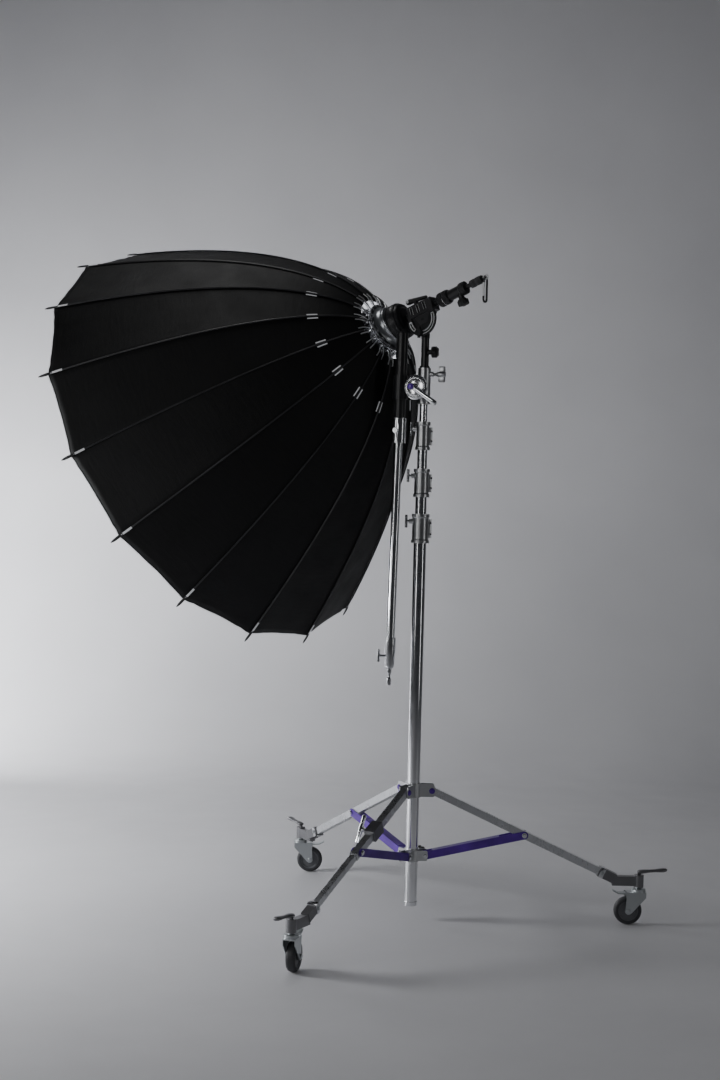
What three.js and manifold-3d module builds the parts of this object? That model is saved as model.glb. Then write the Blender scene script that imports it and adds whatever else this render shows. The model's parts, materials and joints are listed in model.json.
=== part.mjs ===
// A deep parabolic softbox on a rolling combo stand with a stowed boom arm.
// Units are millimetres and +Z is up. The stand is modelled about its mast, with the mast axis on x = y = 0
// and the floor at z = 0. The finished group is then moved so that its origin is the middle of its footprint.
import * as THREE from "three";
import { mergeVertices } from "three/addons/utils/BufferGeometryUtils.js";
import Module from "manifold-3d";

const wasm = await Module();
wasm.setup();

// ---------------------------------------------------------------- driving dimensions

const GAP = 0.4; // clearance left between pieces that touch or slide
const ROUND = 20; // sides of a round piece
const SMALL_ROUND = 12; // sides of a small round piece
const DEG = Math.PI / 180;

const MAST = {
  baseRadius: 22.5,
  wall: 2,
  baseBottom: 52,
  riserSlack: [0.5, 0.5, 1.5], // room between each riser and the tube that it slides in
  riserBottoms: [160, 200, 240],
};

// A clamp casting sits on top of each tube and grips the riser that slides out of it.
const CLAMPS = [
  { name: "base", bottom: 1346, height: 103, wall: 6, handleTurn: 180 },
  { name: "riser_1", bottom: 1509, height: 100, wall: 5.5, handleTurn: 180 },
  { name: "riser_2", bottom: 1676, height: 99, wall: 5.5, handleTurn: 165 },
];
const CLAMP_RIM = { height: 10, slope: 4, step: 3 }; // the raised rim at each end of a casting
const CLAMP_SEAT = 50; // how far a tube reaches up into its casting

const T_HANDLE = {
  shaftRadius: 4.5,
  shaftLength: 30,
  barRadius: 5,
  barLength: 46,
  bossRadius: 9,
  bossLength: 12,
};

const LEGS = [
  { name: "right", turn: 3, trailTurn: 184 },
  { name: "rear", turn: 123, trailTurn: 4 },
  { name: "front", turn: -117, trailTurn: 78 },
];
const LEG = {
  size: 26, // square tube
  wall: 1.8,
  length: 722, // from the hub pivot to the open end of the tube
  start: -14, // the tube begins this far behind its pivot
  drop: 24.5, // degrees below horizontal
  hubRadius: 66, // hub pivot to the mast axis
  endHeight: 165.6, // the middle of the tube's open end, above the floor
  bracePivot: 367, // hub pivot to brace pivot, along the leg
};
const BRACE = {
  length: 361, // collar pivot to leg pivot
  collarRadius: 48, // collar pivot to the mast axis
  height: 28,
  wall: 2.5,
  overhang: 14, // the channel runs on past each pivot
  webCut: 88, // the web stops this far short of the leg pivot
};
const HUB = { ringWall: 5, ringHeight: 50, lugWall: 4, lugHeight: 44, lugRound: 6, lugBeyond: 9 };
const COLLAR = { ringWall: 5, ringHeight: 44, lugWall: 3, lugHeight: 36, lugRound: 6, lugBeyond: 8 };
const COLLAR_KNOB = { turn: 57, height: 8, shaft: 26, radius: 17 };
const PIN_RADIUS = 4;
const BOLT_HEAD = { radius: 7.5, height: 4 };
const END_RING = { wall: 2, height: 14 };

// The front leg is in two lengths, so that it can be levelled on stairs or a slope.
const LEVELLER = {
  sleeveEnd: 396,
  slideWall: 2,
  slideStart: 300,
  clampAt: 212,
  clampLength: 62,
  clampWall: 6.5,
  bossReach: 10,
  barLength: 60,
};

const SOCKET = {
  stemReach: 94, // the leg's end to the caster stem
  bossRadius: 17,
  bossBottom: 134,
  bossTop: 178,
  sleeveLength: 58,
  sleeveWall: 4,
  neckWidth: 24,
  neckInset: 5, // the neck is this much shallower than the boss, above and below
};
const FOOT_LEVER = {
  length: 96,
  width: 22,
  thickness: 11,
  rise: 14,
  pivotHeight: 188,
  eyeRadius: 7,
  eyeWidth: 9,
  pinRadius: 2.5,
};

const CASTER = {
  wheelRadius: 50,
  wheelWidth: 32,
  wheelSides: 24,
  axleRadius: 5,
  trail: 38, // stem axis to axle
  forkWall: 3,
  forkGap: 2.5, // wheel to fork cheek, each side
  crownHeight: 113,
  crownWall: 4,
  raceRadius: 24,
  raceHeight: 16,
  stemRadius: 6,
  stemTop: 168,
};
const PEDAL = { length: 46, width: 26, thickness: 3, hingeRadius: 4, rise: 9 };

// Boom head, on top of the last riser. The boom swings in a plane beside the mast.
const HEAD = {
  bottom: 1838,
  top: 1966,
  wall: 8,
  pivotHeight: 1893,
  riserTop: 1900,
  pinBottom: 1908,
  turn: -112, // azimuth of the boom pivot
  bossRadius: 17,
  bossReach: 56,
  knobHeight: 1944,
  knobTurn: -12,
  knobShaft: 48,
  knobRadius: 23,
};
const CLUTCH = {
  hubRadius: 24,
  discRadius: 43,
  discWall: 14,
  hubEnd: 74,
  armOffset: 66, // boom axis to pivot axis
  armReach: 60, // boom axis to mast, along the pivot
  sleeveHeight: 84,
  sleeveWall: 5,
};
const BOOM = {
  hang: 0.8, // degrees off vertical as stowed
  gripRadius: 21,
  gripAbove: 190,
  gripBelow: 108,
  innerRadius: 15,
  innerWall: 2,
  innerInside: 80, // the inner tube starts this far above the clamp
  innerBelow: 915, // pivot to the lower end of the inner tube
  clampHeight: 88,
  clampWall: 5,
  endHeight: 100,
  endWall: 4,
  pinRadius: 8,
  pinLength: 62,
};
const BOOM_HANDLE = {
  bossRadius: 11,
  bossLength: 18,
  tail: 26,
  reach: 88,
  width: 17,
  thickness: 9,
  angle: -34,
};
const BOOM_SCREW = 6; // radius of the screw that the clutch and its handle turn on

// Tilt bracket and focusing rod. The bracket's own frame has +X along the rod, away from the canopy.
const AIM = { turn: -33.9, rodRise: 21.6, canopyRise: 27.6 }; // azimuth and elevations, in degrees
const POST = {
  radius: 14,
  shoulderRadius: 18,
  shoulder: 6,
  top: 2080,
  tongue: 10,
  tongueWidth: 30,
  knobHeight: 2022,
  knobTurn: 12, // azimuth of the knob, from the bracket's own front
  knobBoss: 24,
  knobShaft: 22,
  knobRadius: 14,
};
const TILT = {
  height: 2137, // the tilt pivot
  rodOffset: 38, // rod axis above the tilt pivot
  blockFront: -52,
  blockBack: 54,
  blockWidth: 46,
  blockBelow: 22,
  blockAbove: 25,
  cheekWall: 6,
  arcInner: 39,
  arcOuter: 57,
  arcSlot: 8,
  arcSpan: 97, // degrees each side of straight down
  arcWall: 5,
};
const ROD = { radius: 8, front: -524, back: 264, capRadius: 14, capLength: 52 };
const CARRIER = { wall: 2.6, back: 150 }; // the fixed tube that the rod slides in
const EYE = { reach: 12, bore: 5.6, wall: 3, thickness: 5 }; // the tab that the hook hangs from
const ROD_LEVER = {
  tail: -44,
  tip: 40,
  tailRadius: 9,
  tipRadius: 5,
  slope: 9,
  lift: 20,
  bossRadius: 9,
  studRadius: 4,
  at: -18,
};
const SLEEVE = {
  front: 74,
  back: 192,
  collarRadius: 25,
  collarLength: 44,
  radius: 19,
  bossRadius: 11,
  bossReach: 14,
  knobAt: 163,
  knobShaft: 31,
  knobRadius: 20,
};
const TILT_KNOB = { radius: 10, depth: 18, wingLength: 40, wingWidth: 8, screwRadius: 3.2 };
const TILT_PIN = 5; // radius of the pin that the block tilts on
const HOOK = { length: 92, width: 27, wire: 6 };

// The canopy's frame has its origin on the crown, with +X towards the back, along the canopy's axis.
const CROWN = {
  behindMast: -194.4, // crown centre to mast, along the rod
  flangeRadius: 98,
  flangeWall: 6,
  frontFlange: -12,
  rearFlange: 30,
  drumRadius: 76,
  bowlEnd: 62,
  bowlRadius: 58,
  neckRadius: 22,
  neckBore: 18,
  neckEnd: 69,
  wall: 4,
  slotWidth: 12,
  slotDepth: 16,
};
const DOME = { rimWall: 34, back: -70, radius: 66, backRadius: 34 };
const CANOPY = {
  ribs: 16,
  depth: 874, // crown centre to the plane of the rib tips
  tipRadius: 840,
  apexBehind: 41, // the profile's apex is this far behind the crown centre
  power: 0.536, // radius grows with this power of the distance from the apex
  phase: 6.5, // degrees from a rib to the canopy's top
  fabricStart: -16, // where the cloth begins, measured forward from the crown centre
  tipOverhang: 16, // rib tip beyond the hem, along the axis
  cloth: 2,
  rings: 9,
};
const RIB = { radius: 4.5, sides: 5, ringRadius: 86, ringWire: 2.5, ringAt: 22, standoff: 1 };
const LAMP_MOUNT = { collarRadius: 18, collarLength: 40, plateRadius: 62, plateWall: 5 };

// ---------------------------------------------------------------- materials

function material(color, roughness, metalness) {
  return new THREE.MeshStandardMaterial({ color, roughness, metalness });
}
const chrome = material(0xc9cbd0, 0.18, 1);
const steel = material(0xb4b7bb, 0.35, 1);
const casting = material(0x8d8f90, 0.45, 1);
const zinc = material(0xa9aeb0, 0.4, 1);
const purple = material(0x35257f, 0.4, 0.2);
const blackPaint = material(0x141416, 0.45, 0.1);
const blackRubber = material(0x1b1b1e, 0.8, 0);
const aluminium = material(0x9aa0a4, 0.3, 1);
const blackCloth = material(0x0b0b0d, 0.8, 0);
const ribMetal = material(0x8e9196, 0.3, 1);

// ---------------------------------------------------------------- solids

function toSolid(geometry) {
  const bare = geometry.index ? geometry.toNonIndexed() : geometry.clone();
  bare.deleteAttribute("normal");
  bare.deleteAttribute("uv");
  const merged = mergeVertices(bare, 1e-3);
  return new wasm.Manifold(
    new wasm.Mesh({
      numProp: 3,
      vertProperties: merged.attributes.position.array,
      triVerts: new Uint32Array(merged.index.array),
    }),
  );
}

function toGeometry(solid) {
  const mesh = solid.getMesh();
  const geometry = new THREE.BufferGeometry();
  geometry.setAttribute("position", new THREE.BufferAttribute(mesh.vertProperties.slice(), 3));
  geometry.setIndex(new THREE.BufferAttribute(mesh.triVerts.slice(), 1));
  geometry.computeVertexNormals();
  return geometry;
}

function join(...geometries) {
  return toGeometry(geometries.map(toSolid).reduce((a, b) => a.add(b)));
}

function cut(geometry, ...tools) {
  return toGeometry(tools.map(toSolid).reduce((a, b) => a.subtract(b), toSolid(geometry)));
}

// A solid turned about Z. The profile lists [radius, z] up the outside.
function turned(profile, sides = ROUND) {
  const points = profile.map(([radius, z]) => new THREE.Vector2(radius, z));
  return new THREE.LatheGeometry(points, sides).rotateX(Math.PI / 2);
}

function cylinder(radius, bottom, top, sides = ROUND) {
  return turned([[0, bottom], [radius, bottom], [radius, top], [0, top]], sides);
}

function tube(inner, outer, bottom, top, sides = ROUND) {
  return turned([[inner, bottom], [outer, bottom], [outer, top], [inner, top], [inner, bottom]], sides);
}

// Z becomes X, for pieces that are turned about a horizontal axis.
function alongX(geometry) {
  return geometry.rotateY(Math.PI / 2);
}

// Z becomes Y.
function alongY(geometry) {
  return geometry.rotateX(-Math.PI / 2);
}

// A box between two values on each axis.
function block(x0, x1, y0, y1, z0, z1) {
  const box = new THREE.BoxGeometry(x1 - x0, y1 - y0, z1 - z0);
  return box.translate((x0 + x1) / 2, (y0 + y1) / 2, (z0 + z1) / 2);
}

// A flat plate whose outline lies in X and Z, centred on y.
function plate(outline, thickness, y = 0) {
  const isShape = outline instanceof THREE.Shape;
  const shape = isShape ? outline : new THREE.Shape(outline.map(([x, z]) => new THREE.Vector2(x, z)));
  return new THREE.ExtrudeGeometry(shape, { depth: thickness, bevelEnabled: false, curveSegments: 6 })
    .rotateX(Math.PI / 2)
    .translate(0, y + thickness / 2, 0);
}

// A bar with round ends, from one point to another in X and Z.
function roundBar(x0, z0, x1, z1, width) {
  const angle = Math.atan2(z1 - z0, x1 - x0);
  const radius = width / 2;
  return new THREE.Shape()
    .absarc(x1, z1, radius, angle - Math.PI / 2, angle + Math.PI / 2, false)
    .absarc(x0, z0, radius, angle + Math.PI / 2, angle + 1.5 * Math.PI, false)
    .closePath();
}

// ---------------------------------------------------------------- assembly helpers

const assembly = new THREE.Group();

function add(parent, name, geometry, surface) {
  const mesh = new THREE.Mesh(geometry, surface);
  mesh.name = name;
  parent.add(mesh);
  return mesh;
}

// A group at a joint or a seat: turned about Z, then tipped about its own Y.
function frame(parent, x, y, z, turn = 0, tip = 0, name = "") {
  const group = new THREE.Group();
  group.name = name;
  group.position.set(x, y, z);
  group.rotation.order = "ZYX";
  group.rotation.set(0, tip * DEG, turn * DEG);
  parent.add(group);
  return group;
}

// A T-handle whose shaft runs along +X from the frame's origin.
function tHandle(barLength = T_HANDLE.barLength) {
  const { shaftRadius, shaftLength, barRadius } = T_HANDLE;
  const shaft = alongX(cylinder(shaftRadius, 0, shaftLength, SMALL_ROUND));
  const bar = cylinder(barRadius, -barLength / 2, barLength / 2, SMALL_ROUND).translate(shaftLength, 0, 0);
  return join(shaft, bar);
}

// ---------------------------------------------------------------- mast

const tubeRadii = [MAST.baseRadius]; // outer radius of each tube, from the widest to the narrowest
for (const slack of MAST.riserSlack) tubeRadii.push(tubeRadii.at(-1) - MAST.wall - slack);
const topRadius = tubeRadii.at(-1);
const clampRadius = (index) => tubeRadii[index] + GAP + CLAMPS[index].wall; // outside of a casting's body

// The casting on top of tube `index`, with a boss for its T-handle.
function clampCasting(index) {
  const { bottom, height, handleTurn } = CLAMPS[index];
  const { height: rim, slope, step } = CLAMP_RIM;
  const seat = tubeRadii[index] + GAP;
  const bore = tubeRadii[index + 1] + GAP;
  const body = clampRadius(index);
  const ledge = CLAMP_SEAT + GAP;
  const shell = turned([
    [seat, 0],
    [body + step, 0],
    [body + step, rim],
    [body, rim + slope],
    [body, height - rim - slope],
    [body + step, height - rim],
    [body + step, height],
    [bore, height],
    [bore, ledge],
    [seat, ledge],
    [seat, 0],
  ]);
  const { bossRadius, bossLength, shaftRadius } = T_HANDLE;
  const mid = (CLAMP_SEAT + height) / 2;
  const boss = alongX(tube(shaftRadius + GAP, bossRadius, body - 3, body + bossLength, SMALL_ROUND));
  const drill = alongX(cylinder(shaftRadius + GAP, bore - 2, body + bossLength + 1, SMALL_ROUND));
  const made = join(cut(shell, drill.clone().translate(0, 0, mid)), boss.translate(0, 0, mid));
  return made.rotateZ(handleTurn * DEG).translate(0, 0, bottom);
}

function buildMast() {
  const { baseRadius, wall, baseBottom } = MAST;
  const baseTop = CLAMPS[0].bottom + CLAMP_SEAT;
  const ring = baseRadius + END_RING.wall;
  const column = turned([
    [baseRadius - wall, baseBottom],
    [ring, baseBottom],
    [ring, baseBottom + END_RING.height],
    [baseRadius, baseBottom + END_RING.height],
    [baseRadius, baseTop],
    [baseRadius - wall, baseTop],
    [baseRadius - wall, baseBottom],
  ]);
  add(assembly, "base_tube", column, chrome);

  let parent = assembly;
  CLAMPS.forEach((clamp, index) => {
    add(parent, `${clamp.name}_clamp`, clampCasting(index), casting);
    const handleHeight = clamp.bottom + (CLAMP_SEAT + clamp.height) / 2;
    const outer = tubeRadii[index + 1];
    const start = outer + 2 * GAP; // the screw stops just short of the riser
    const turn = clamp.handleTurn * DEG;
    const handle = frame(
      parent,
      start * Math.cos(turn),
      start * Math.sin(turn),
      handleHeight,
      clamp.handleTurn,
      0,
      `joint:${clamp.name}_handle_turn`,
    );
    add(handle, `${clamp.name}_clamp_handle`, tHandle(), chrome);

    const riserTop = index < 2 ? CLAMPS[index + 1].bottom + CLAMP_SEAT : HEAD.riserTop;
    const riser = frame(parent, 0, 0, 0, 0, 0, `joint:riser_${index + 1}_slide`);
    const riserTube = tube(outer - wall, outer, MAST.riserBottoms[index], riserTop);
    add(riser, `riser_${index + 1}`, riserTube, chrome);
    parent = riser;
  });
  return parent; // what the boom head sits on
}

// ---------------------------------------------------------------- legs, hub and braces

const legCos = Math.cos(LEG.drop * DEG);
const legSin = Math.sin(LEG.drop * DEG);
const hubHeight = LEG.endHeight + LEG.length * legSin;
const stemRadius = LEG.hubRadius + LEG.length * legCos + SOCKET.stemReach; // caster stem to the mast axis
const legPivot = { x: LEG.hubRadius + LEG.bracePivot * legCos, z: hubHeight - LEG.bracePivot * legSin };
const braceRise = Math.acos((legPivot.x - BRACE.collarRadius) / BRACE.length) / DEG;
const collarHeight = legPivot.z - BRACE.length * Math.sin(braceRise * DEG);
const braceWidth = LEG.size + 2 * (BRACE.wall + 1.5); // the channel straddles the leg

// A ring round the base tube with a pair of lugs for each leg. Each pair carries its pivot pin.
function lugRing(sizes, pivotRadius, gapWidth) {
  const { ringWall, ringHeight, lugWall, lugHeight, lugRound, lugBeyond } = sizes;
  const inner = MAST.baseRadius + GAP;
  let ring = tube(inner, inner + ringWall, -ringHeight / 2, ringHeight / 2);
  const lugEnd = pivotRadius + lugBeyond;
  const half = lugHeight / 2;
  for (const { turn } of LEGS) {
    for (const side of [-1, 1]) {
      const outline = new THREE.Shape()
        .moveTo(0, -half)
        .lineTo(lugEnd - lugRound, -half)
        .absarc(lugEnd - lugRound, -half + lugRound, lugRound, -Math.PI / 2, 0, false)
        .absarc(lugEnd - lugRound, half - lugRound, lugRound, 0, Math.PI / 2, false)
        .lineTo(0, half)
        .closePath();
      const lug = plate(outline, lugWall, side * (gapWidth / 2 + lugWall / 2));
      ring = join(ring, lug.rotateZ(turn * DEG));
    }
    const pinReach = gapWidth / 2 + lugWall + 3;
    const pin = alongY(cylinder(PIN_RADIUS, -pinReach, pinReach, SMALL_ROUND)).translate(pivotRadius, 0, 0);
    ring = join(ring, pin.rotateZ(turn * DEG));
  }
  return cut(ring, cylinder(inner, -ringHeight, ringHeight));
}

function pinHole(x, z = 0) {
  const reach = braceWidth;
  return alongY(cylinder(PIN_RADIUS + GAP, -reach, reach, SMALL_ROUND)).translate(x, 0, z);
}

// A square tube along +X.
function squareTube(size, wall, start, end) {
  const half = size / 2;
  const inner = half - wall;
  return cut(
    block(start, end, -half, half, -half, half),
    block(start - 1, end + 1, -inner, inner, -inner, inner),
  );
}

function legTube(name) {
  const end = name === "front" ? LEVELLER.sleeveEnd : LEG.length;
  const pins = [pinHole(0), pinHole(LEG.bracePivot)];
  return cut(squareTube(LEG.size, LEG.wall, LEG.start, end), ...pins);
}

// The brace is a channel, open below, so that the leg closes into it when the stand folds.
// A bolt head stands on the outside of each cheek at the leg end.
function braceChannel() {
  const { length, height, wall, overhang, webCut } = BRACE;
  const half = braceWidth / 2;
  const cheek = (side) => plate(roundBar(0, 0, length, 0, 2 * overhang), wall, side * (half - wall / 2));
  const head = (side) =>
    plate(roundBar(length, 0, length + 0.1, 0, 2 * BOLT_HEAD.radius), BOLT_HEAD.height, side * (half + 1));
  const web = block(overhang + 14, length - webCut, -half, half, height / 2 - wall, height / 2);
  return cut(join(cheek(-1), cheek(1), head(-1), head(1), web), pinHole(0));
}

// ---------------------------------------------------------------- feet and casters

// The casting on the end of a leg: a sleeve round the tube, a neck and an upright boss for the caster stem.
function footSocket(tubeSize) {
  const { bossRadius, bossBottom, bossTop, sleeveLength, sleeveWall, neckWidth, neckInset } = SOCKET;
  const half = tubeSize / 2 + GAP;
  const outer = half + sleeveWall;
  const tipped = (geometry) => geometry.rotateY(LEG.drop * DEG).translate(LEG.hubRadius, 0, hubHeight);
  const sleeve = tipped(block(LEG.length - sleeveLength, LEG.length + 8, -outer, outer, -outer, outer));
  const hollow = tipped(block(LEG.length - sleeveLength - 1, LEG.length + GAP, -half, half, -half, half));
  const legEnd = LEG.hubRadius + LEG.length * legCos;
  const neckHalf = neckWidth / 2;
  const neckBottom = bossBottom + neckInset;
  const neckTop = bossTop - neckInset;
  const neck = block(legEnd - 4, stemRadius, -neckHalf, neckHalf, neckBottom, neckTop);
  const boss = cylinder(bossRadius, bossBottom, bossTop).translate(stemRadius, 0, 0);
  const bore = cylinder(CASTER.stemRadius + GAP, bossBottom - 1, CASTER.stemTop + 2, SMALL_ROUND);
  return cut(join(sleeve, neck, boss, footLeverEye()), hollow, bore.translate(stemRadius, 0, 0));
}

// The lug on top of a socket, with the pin that the foot lever turns on.
function footLeverEye() {
  const { pivotHeight, eyeRadius, eyeWidth, pinRadius, width } = FOOT_LEVER;
  const reach = width / 2 + GAP;
  const lug = plate(roundBar(0, SOCKET.bossTop - pivotHeight - 4, 0, 0, 2 * eyeRadius - 2), eyeWidth);
  const pin = alongY(cylinder(pinRadius, -reach, reach, 8));
  return join(lug, pin).translate(stemRadius, 0, pivotHeight);
}

// The lever astride the eye, reaching out past the socket.
function footLever() {
  const { length, width, thickness, rise, eyeRadius, eyeWidth, pinRadius } = FOOT_LEVER;
  const outline = [
    [-eyeRadius, -eyeRadius + 3], [-eyeRadius + 3, -eyeRadius], [30, -eyeRadius], [length, rise - thickness],
    [length + 4, rise], [length, rise + 2], [34, eyeRadius + 1], [-eyeRadius + 3, eyeRadius],
  ];
  const slotHalf = eyeWidth / 2 + GAP;
  const slot = block(-eyeRadius - 4, eyeRadius + 5, -slotHalf, slotHalf, -20, 20);
  return cut(plate(outline, width), slot, alongY(cylinder(pinRadius + GAP, -width, width, 8)));
}

// In the caster's frame the stem is on Z, and the wheel trails along +X.
function casterFork() {
  const { trail, forkWall, forkGap, wheelWidth, crownHeight, crownWall } = CASTER;
  const { wheelRadius, axleRadius, raceRadius, raceHeight, stemRadius, stemTop } = CASTER;
  const inner = wheelWidth / 2 + forkGap;
  const outer = inner + forkWall;
  const cheek = (side) => {
    const outline = new THREE.Shape()
      .moveTo(-raceRadius, crownHeight + crownWall)
      .lineTo(-raceRadius, crownHeight - 14)
      .lineTo(trail - 12, wheelRadius - 6)
      .absarc(trail, wheelRadius, 12, -2.4, -0.3, false)
      .lineTo(trail + 8, crownHeight - 18)
      .lineTo(trail + 12, crownHeight + crownWall)
      .closePath();
    return plate(outline, forkWall, side * (inner + forkWall / 2));
  };
  const crown = block(-raceRadius, trail + 6, -outer, outer, crownHeight, crownHeight + crownWall);
  const race = cylinder(raceRadius, crownHeight + crownWall - 1, crownHeight + raceHeight);
  const stem = cylinder(stemRadius, crownHeight, stemTop, SMALL_ROUND);
  const axle = alongY(cylinder(axleRadius, -outer - 5, outer + 5, SMALL_ROUND));
  axle.translate(trail, 0, wheelRadius);
  return join(cheek(-1), cheek(1), crown, race, stem, axle);
}

// A wheel with a flat facet at its lowest point. Its circle runs through the middles of the facets.
function casterWheel() {
  const { wheelRadius, wheelWidth, wheelSides, axleRadius, forkGap } = CASTER;
  const rim = wheelRadius / Math.cos(Math.PI / wheelSides);
  const half = wheelWidth / 2;
  const hub = half + forkGap - GAP;
  const bore = axleRadius + GAP;
  const profile = [
    [bore, -hub], [14, -hub], [16, -half + 5], [rim * 0.66, -half + 4], [rim * 0.72, -half],
    [rim - 5, -half], [rim, -half + 7], [rim, half - 7], [rim - 5, half], [rim * 0.72, half],
    [rim * 0.66, half - 4], [16, half - 5], [14, hub], [bore, hub], [bore, -hub],
  ];
  return alongY(turned(profile, wheelSides)).rotateY(Math.PI / wheelSides);
}

// The brake pedal reaches out over the wheel. Its frame is on its hinge.
function brakePedal() {
  const { length, width, thickness, hingeRadius, rise } = PEDAL;
  const outline = [
    [0, -hingeRadius + 1], [length * 0.6, -1], [length, rise], [length, rise + thickness],
    [length * 0.55, thickness], [0, hingeRadius - 1],
  ];
  return join(plate(outline, width), alongY(cylinder(hingeRadius, -width / 2, width / 2, 8)));
}

function buildFoot(leg, { name, turn, trailTurn }, tubeSize) {
  // The socket is drawn in the upright leg frame, so the tip of the leg's own frame is taken back out.
  const upright = new THREE.Group();
  const crosswise = new THREE.Vector3(0, 1, 0);
  upright.position.set(-LEG.hubRadius, 0, -hubHeight).applyAxisAngle(crosswise, -LEG.drop * DEG);
  upright.rotation.y = -LEG.drop * DEG;
  leg.add(upright);
  add(upright, `${name}_foot_socket`, footSocket(tubeSize), casting);

  const { pivotHeight } = FOOT_LEVER;
  const lever = frame(upright, stemRadius, 0, pivotHeight, 0, 0, `joint:${name}_foot_lever_lift`);
  add(lever, `${name}_foot_lever`, footLever(), casting);

  const swivel = frame(upright, stemRadius, 0, 0, trailTurn - turn, 0, `joint:${name}_caster_swivel`);
  add(swivel, `${name}_caster_fork`, casterFork(), zinc);
  const { trail, wheelRadius, crownHeight } = CASTER;
  const wheel = frame(swivel, trail, 0, wheelRadius, 0, 0, `joint:${name}_wheel_roll`);
  add(wheel, `${name}_wheel`, casterWheel(), blackRubber);
  const pedal = frame(
    swivel,
    trail + 6 + GAP + PEDAL.hingeRadius,
    0,
    crownHeight - PEDAL.hingeRadius + 2,
    0,
    0,
    `joint:${name}_brake_press`,
  );
  add(pedal, `${name}_brake_pedal`, brakePedal(), zinc);
}

// ---------------------------------------------------------------- leveller on the front leg

const slideSize = LEG.size - 2 * LEG.wall - 2 * GAP;

// The boss of the clamp's screw is on the leg's -Y side.
function levellerClamp() {
  const { clampLength, clampWall, bossReach } = LEVELLER;
  const half = LEG.size / 2 + GAP;
  const outer = half + clampWall;
  const sleeve = cut(
    block(0, clampLength, -outer, outer, -outer, outer),
    block(-1, clampLength + 1, -half, half, -half, half),
  );
  const { bossRadius, shaftRadius } = T_HANDLE;
  const sideways = (geometry) => geometry.rotateX(Math.PI / 2).translate(clampLength / 2, 0, 0);
  const boss = sideways(tube(shaftRadius + GAP, bossRadius, half + 1, outer + bossReach, SMALL_ROUND));
  const drill = sideways(cylinder(shaftRadius + GAP, half - 3, outer + 1, SMALL_ROUND));
  return join(cut(sleeve, drill), boss);
}

function buildLeveller(leg) {
  const { clampAt, clampLength, slideStart, slideWall } = LEVELLER;
  const clamp = frame(leg, clampAt, 0, 0);
  add(clamp, "leveller_clamp", levellerClamp(), casting);
  const handleSeat = LEG.size / 2 + 2 * GAP;
  const handle = frame(clamp, clampLength / 2, -handleSeat, 0, -90, 0, "joint:leveller_handle_turn");
  add(handle, "leveller_handle", tHandle(LEVELLER.barLength), chrome);

  const slide = frame(leg, 0, 0, 0, 0, 0, "joint:front_leg_slide");
  const bar = cut(squareTube(slideSize, slideWall, slideStart, LEG.length), slideSlot());
  add(slide, "front_leg_slide", bar, chrome);
  return slide;
}

// The sliding bar is slotted where the brace bolt crosses it.
function slideSlot() {
  const clear = PIN_RADIUS + GAP;
  const slotEnd = LEG.bracePivot + clear + 1;
  return block(LEVELLER.slideStart - 1, slotEnd, -slideSize, slideSize, -clear, clear);
}

function buildLegs() {
  const hub = frame(assembly, 0, 0, hubHeight, 0, 0, "joint:hub_slide");
  add(hub, "leg_hub", lugRing(HUB, LEG.hubRadius, LEG.size + 2), casting);

  const collar = frame(assembly, 0, 0, collarHeight);
  add(collar, "brace_collar", braceCollar(), casting);
  const knobStart = MAST.baseRadius + 2 * GAP;
  const knobTurn = COLLAR_KNOB.turn * DEG;
  const knob = frame(
    collar,
    knobStart * Math.cos(knobTurn),
    knobStart * Math.sin(knobTurn),
    COLLAR_KNOB.height,
    COLLAR_KNOB.turn,
    0,
    "joint:collar_knob_turn",
  );
  add(knob, "collar_knob", starKnob(COLLAR_KNOB.shaft, COLLAR_KNOB.radius), blackPaint);

  for (const spec of LEGS) {
    const side = frame(assembly, 0, 0, 0, spec.turn);
    const leg = frame(side, LEG.hubRadius, 0, hubHeight, 0, LEG.drop, `joint:${spec.name}_leg_fold`);
    add(leg, `${spec.name}_leg`, legTube(spec.name), chrome);
    if (spec.name === "front") buildFoot(buildLeveller(leg), spec, slideSize);
    else buildFoot(leg, spec, LEG.size);

    const { collarRadius } = BRACE;
    const brace = frame(side, collarRadius, 0, collarHeight, 0, -braceRise, `joint:${spec.name}_brace_fold`);
    add(brace, `${spec.name}_brace`, braceChannel(), purple);
  }
}

// A lobed knob on a screw that runs along +X.
function starKnob(shaft, radius) {
  const outline = new THREE.Shape();
  const lobes = 3;
  for (let i = 0; i <= lobes * 8; i++) {
    const angle = (i / (lobes * 8)) * 2 * Math.PI;
    const reach = radius * (0.78 + 0.22 * Math.cos(lobes * angle));
    outline[i ? "lineTo" : "moveTo"](reach * Math.cos(angle), reach * Math.sin(angle));
  }
  const grip = new THREE.ExtrudeGeometry(outline, { depth: 14, bevelEnabled: false, curveSegments: 4 });
  return alongX(join(grip.translate(0, 0, shaft), cylinder(T_HANDLE.shaftRadius, 0, shaft + 4, SMALL_ROUND)));
}

function braceCollar() {
  const { bossRadius, shaftRadius } = T_HANDLE;
  const ring = lugRing(COLLAR, BRACE.collarRadius, braceWidth + 1.5);
  const inner = MAST.baseRadius + GAP;
  const turn = COLLAR_KNOB.turn * DEG;
  const boss = alongX(cylinder(bossRadius, inner + 1, inner + 14, SMALL_ROUND));
  const drill = alongX(cylinder(shaftRadius + GAP, inner - 3, inner + 15, SMALL_ROUND));
  const place = (geometry) => geometry.translate(0, 0, COLLAR_KNOB.height).rotateZ(turn);
  return cut(join(ring, place(boss)), place(drill));
}

// ---------------------------------------------------------------- boom head and boom

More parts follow.
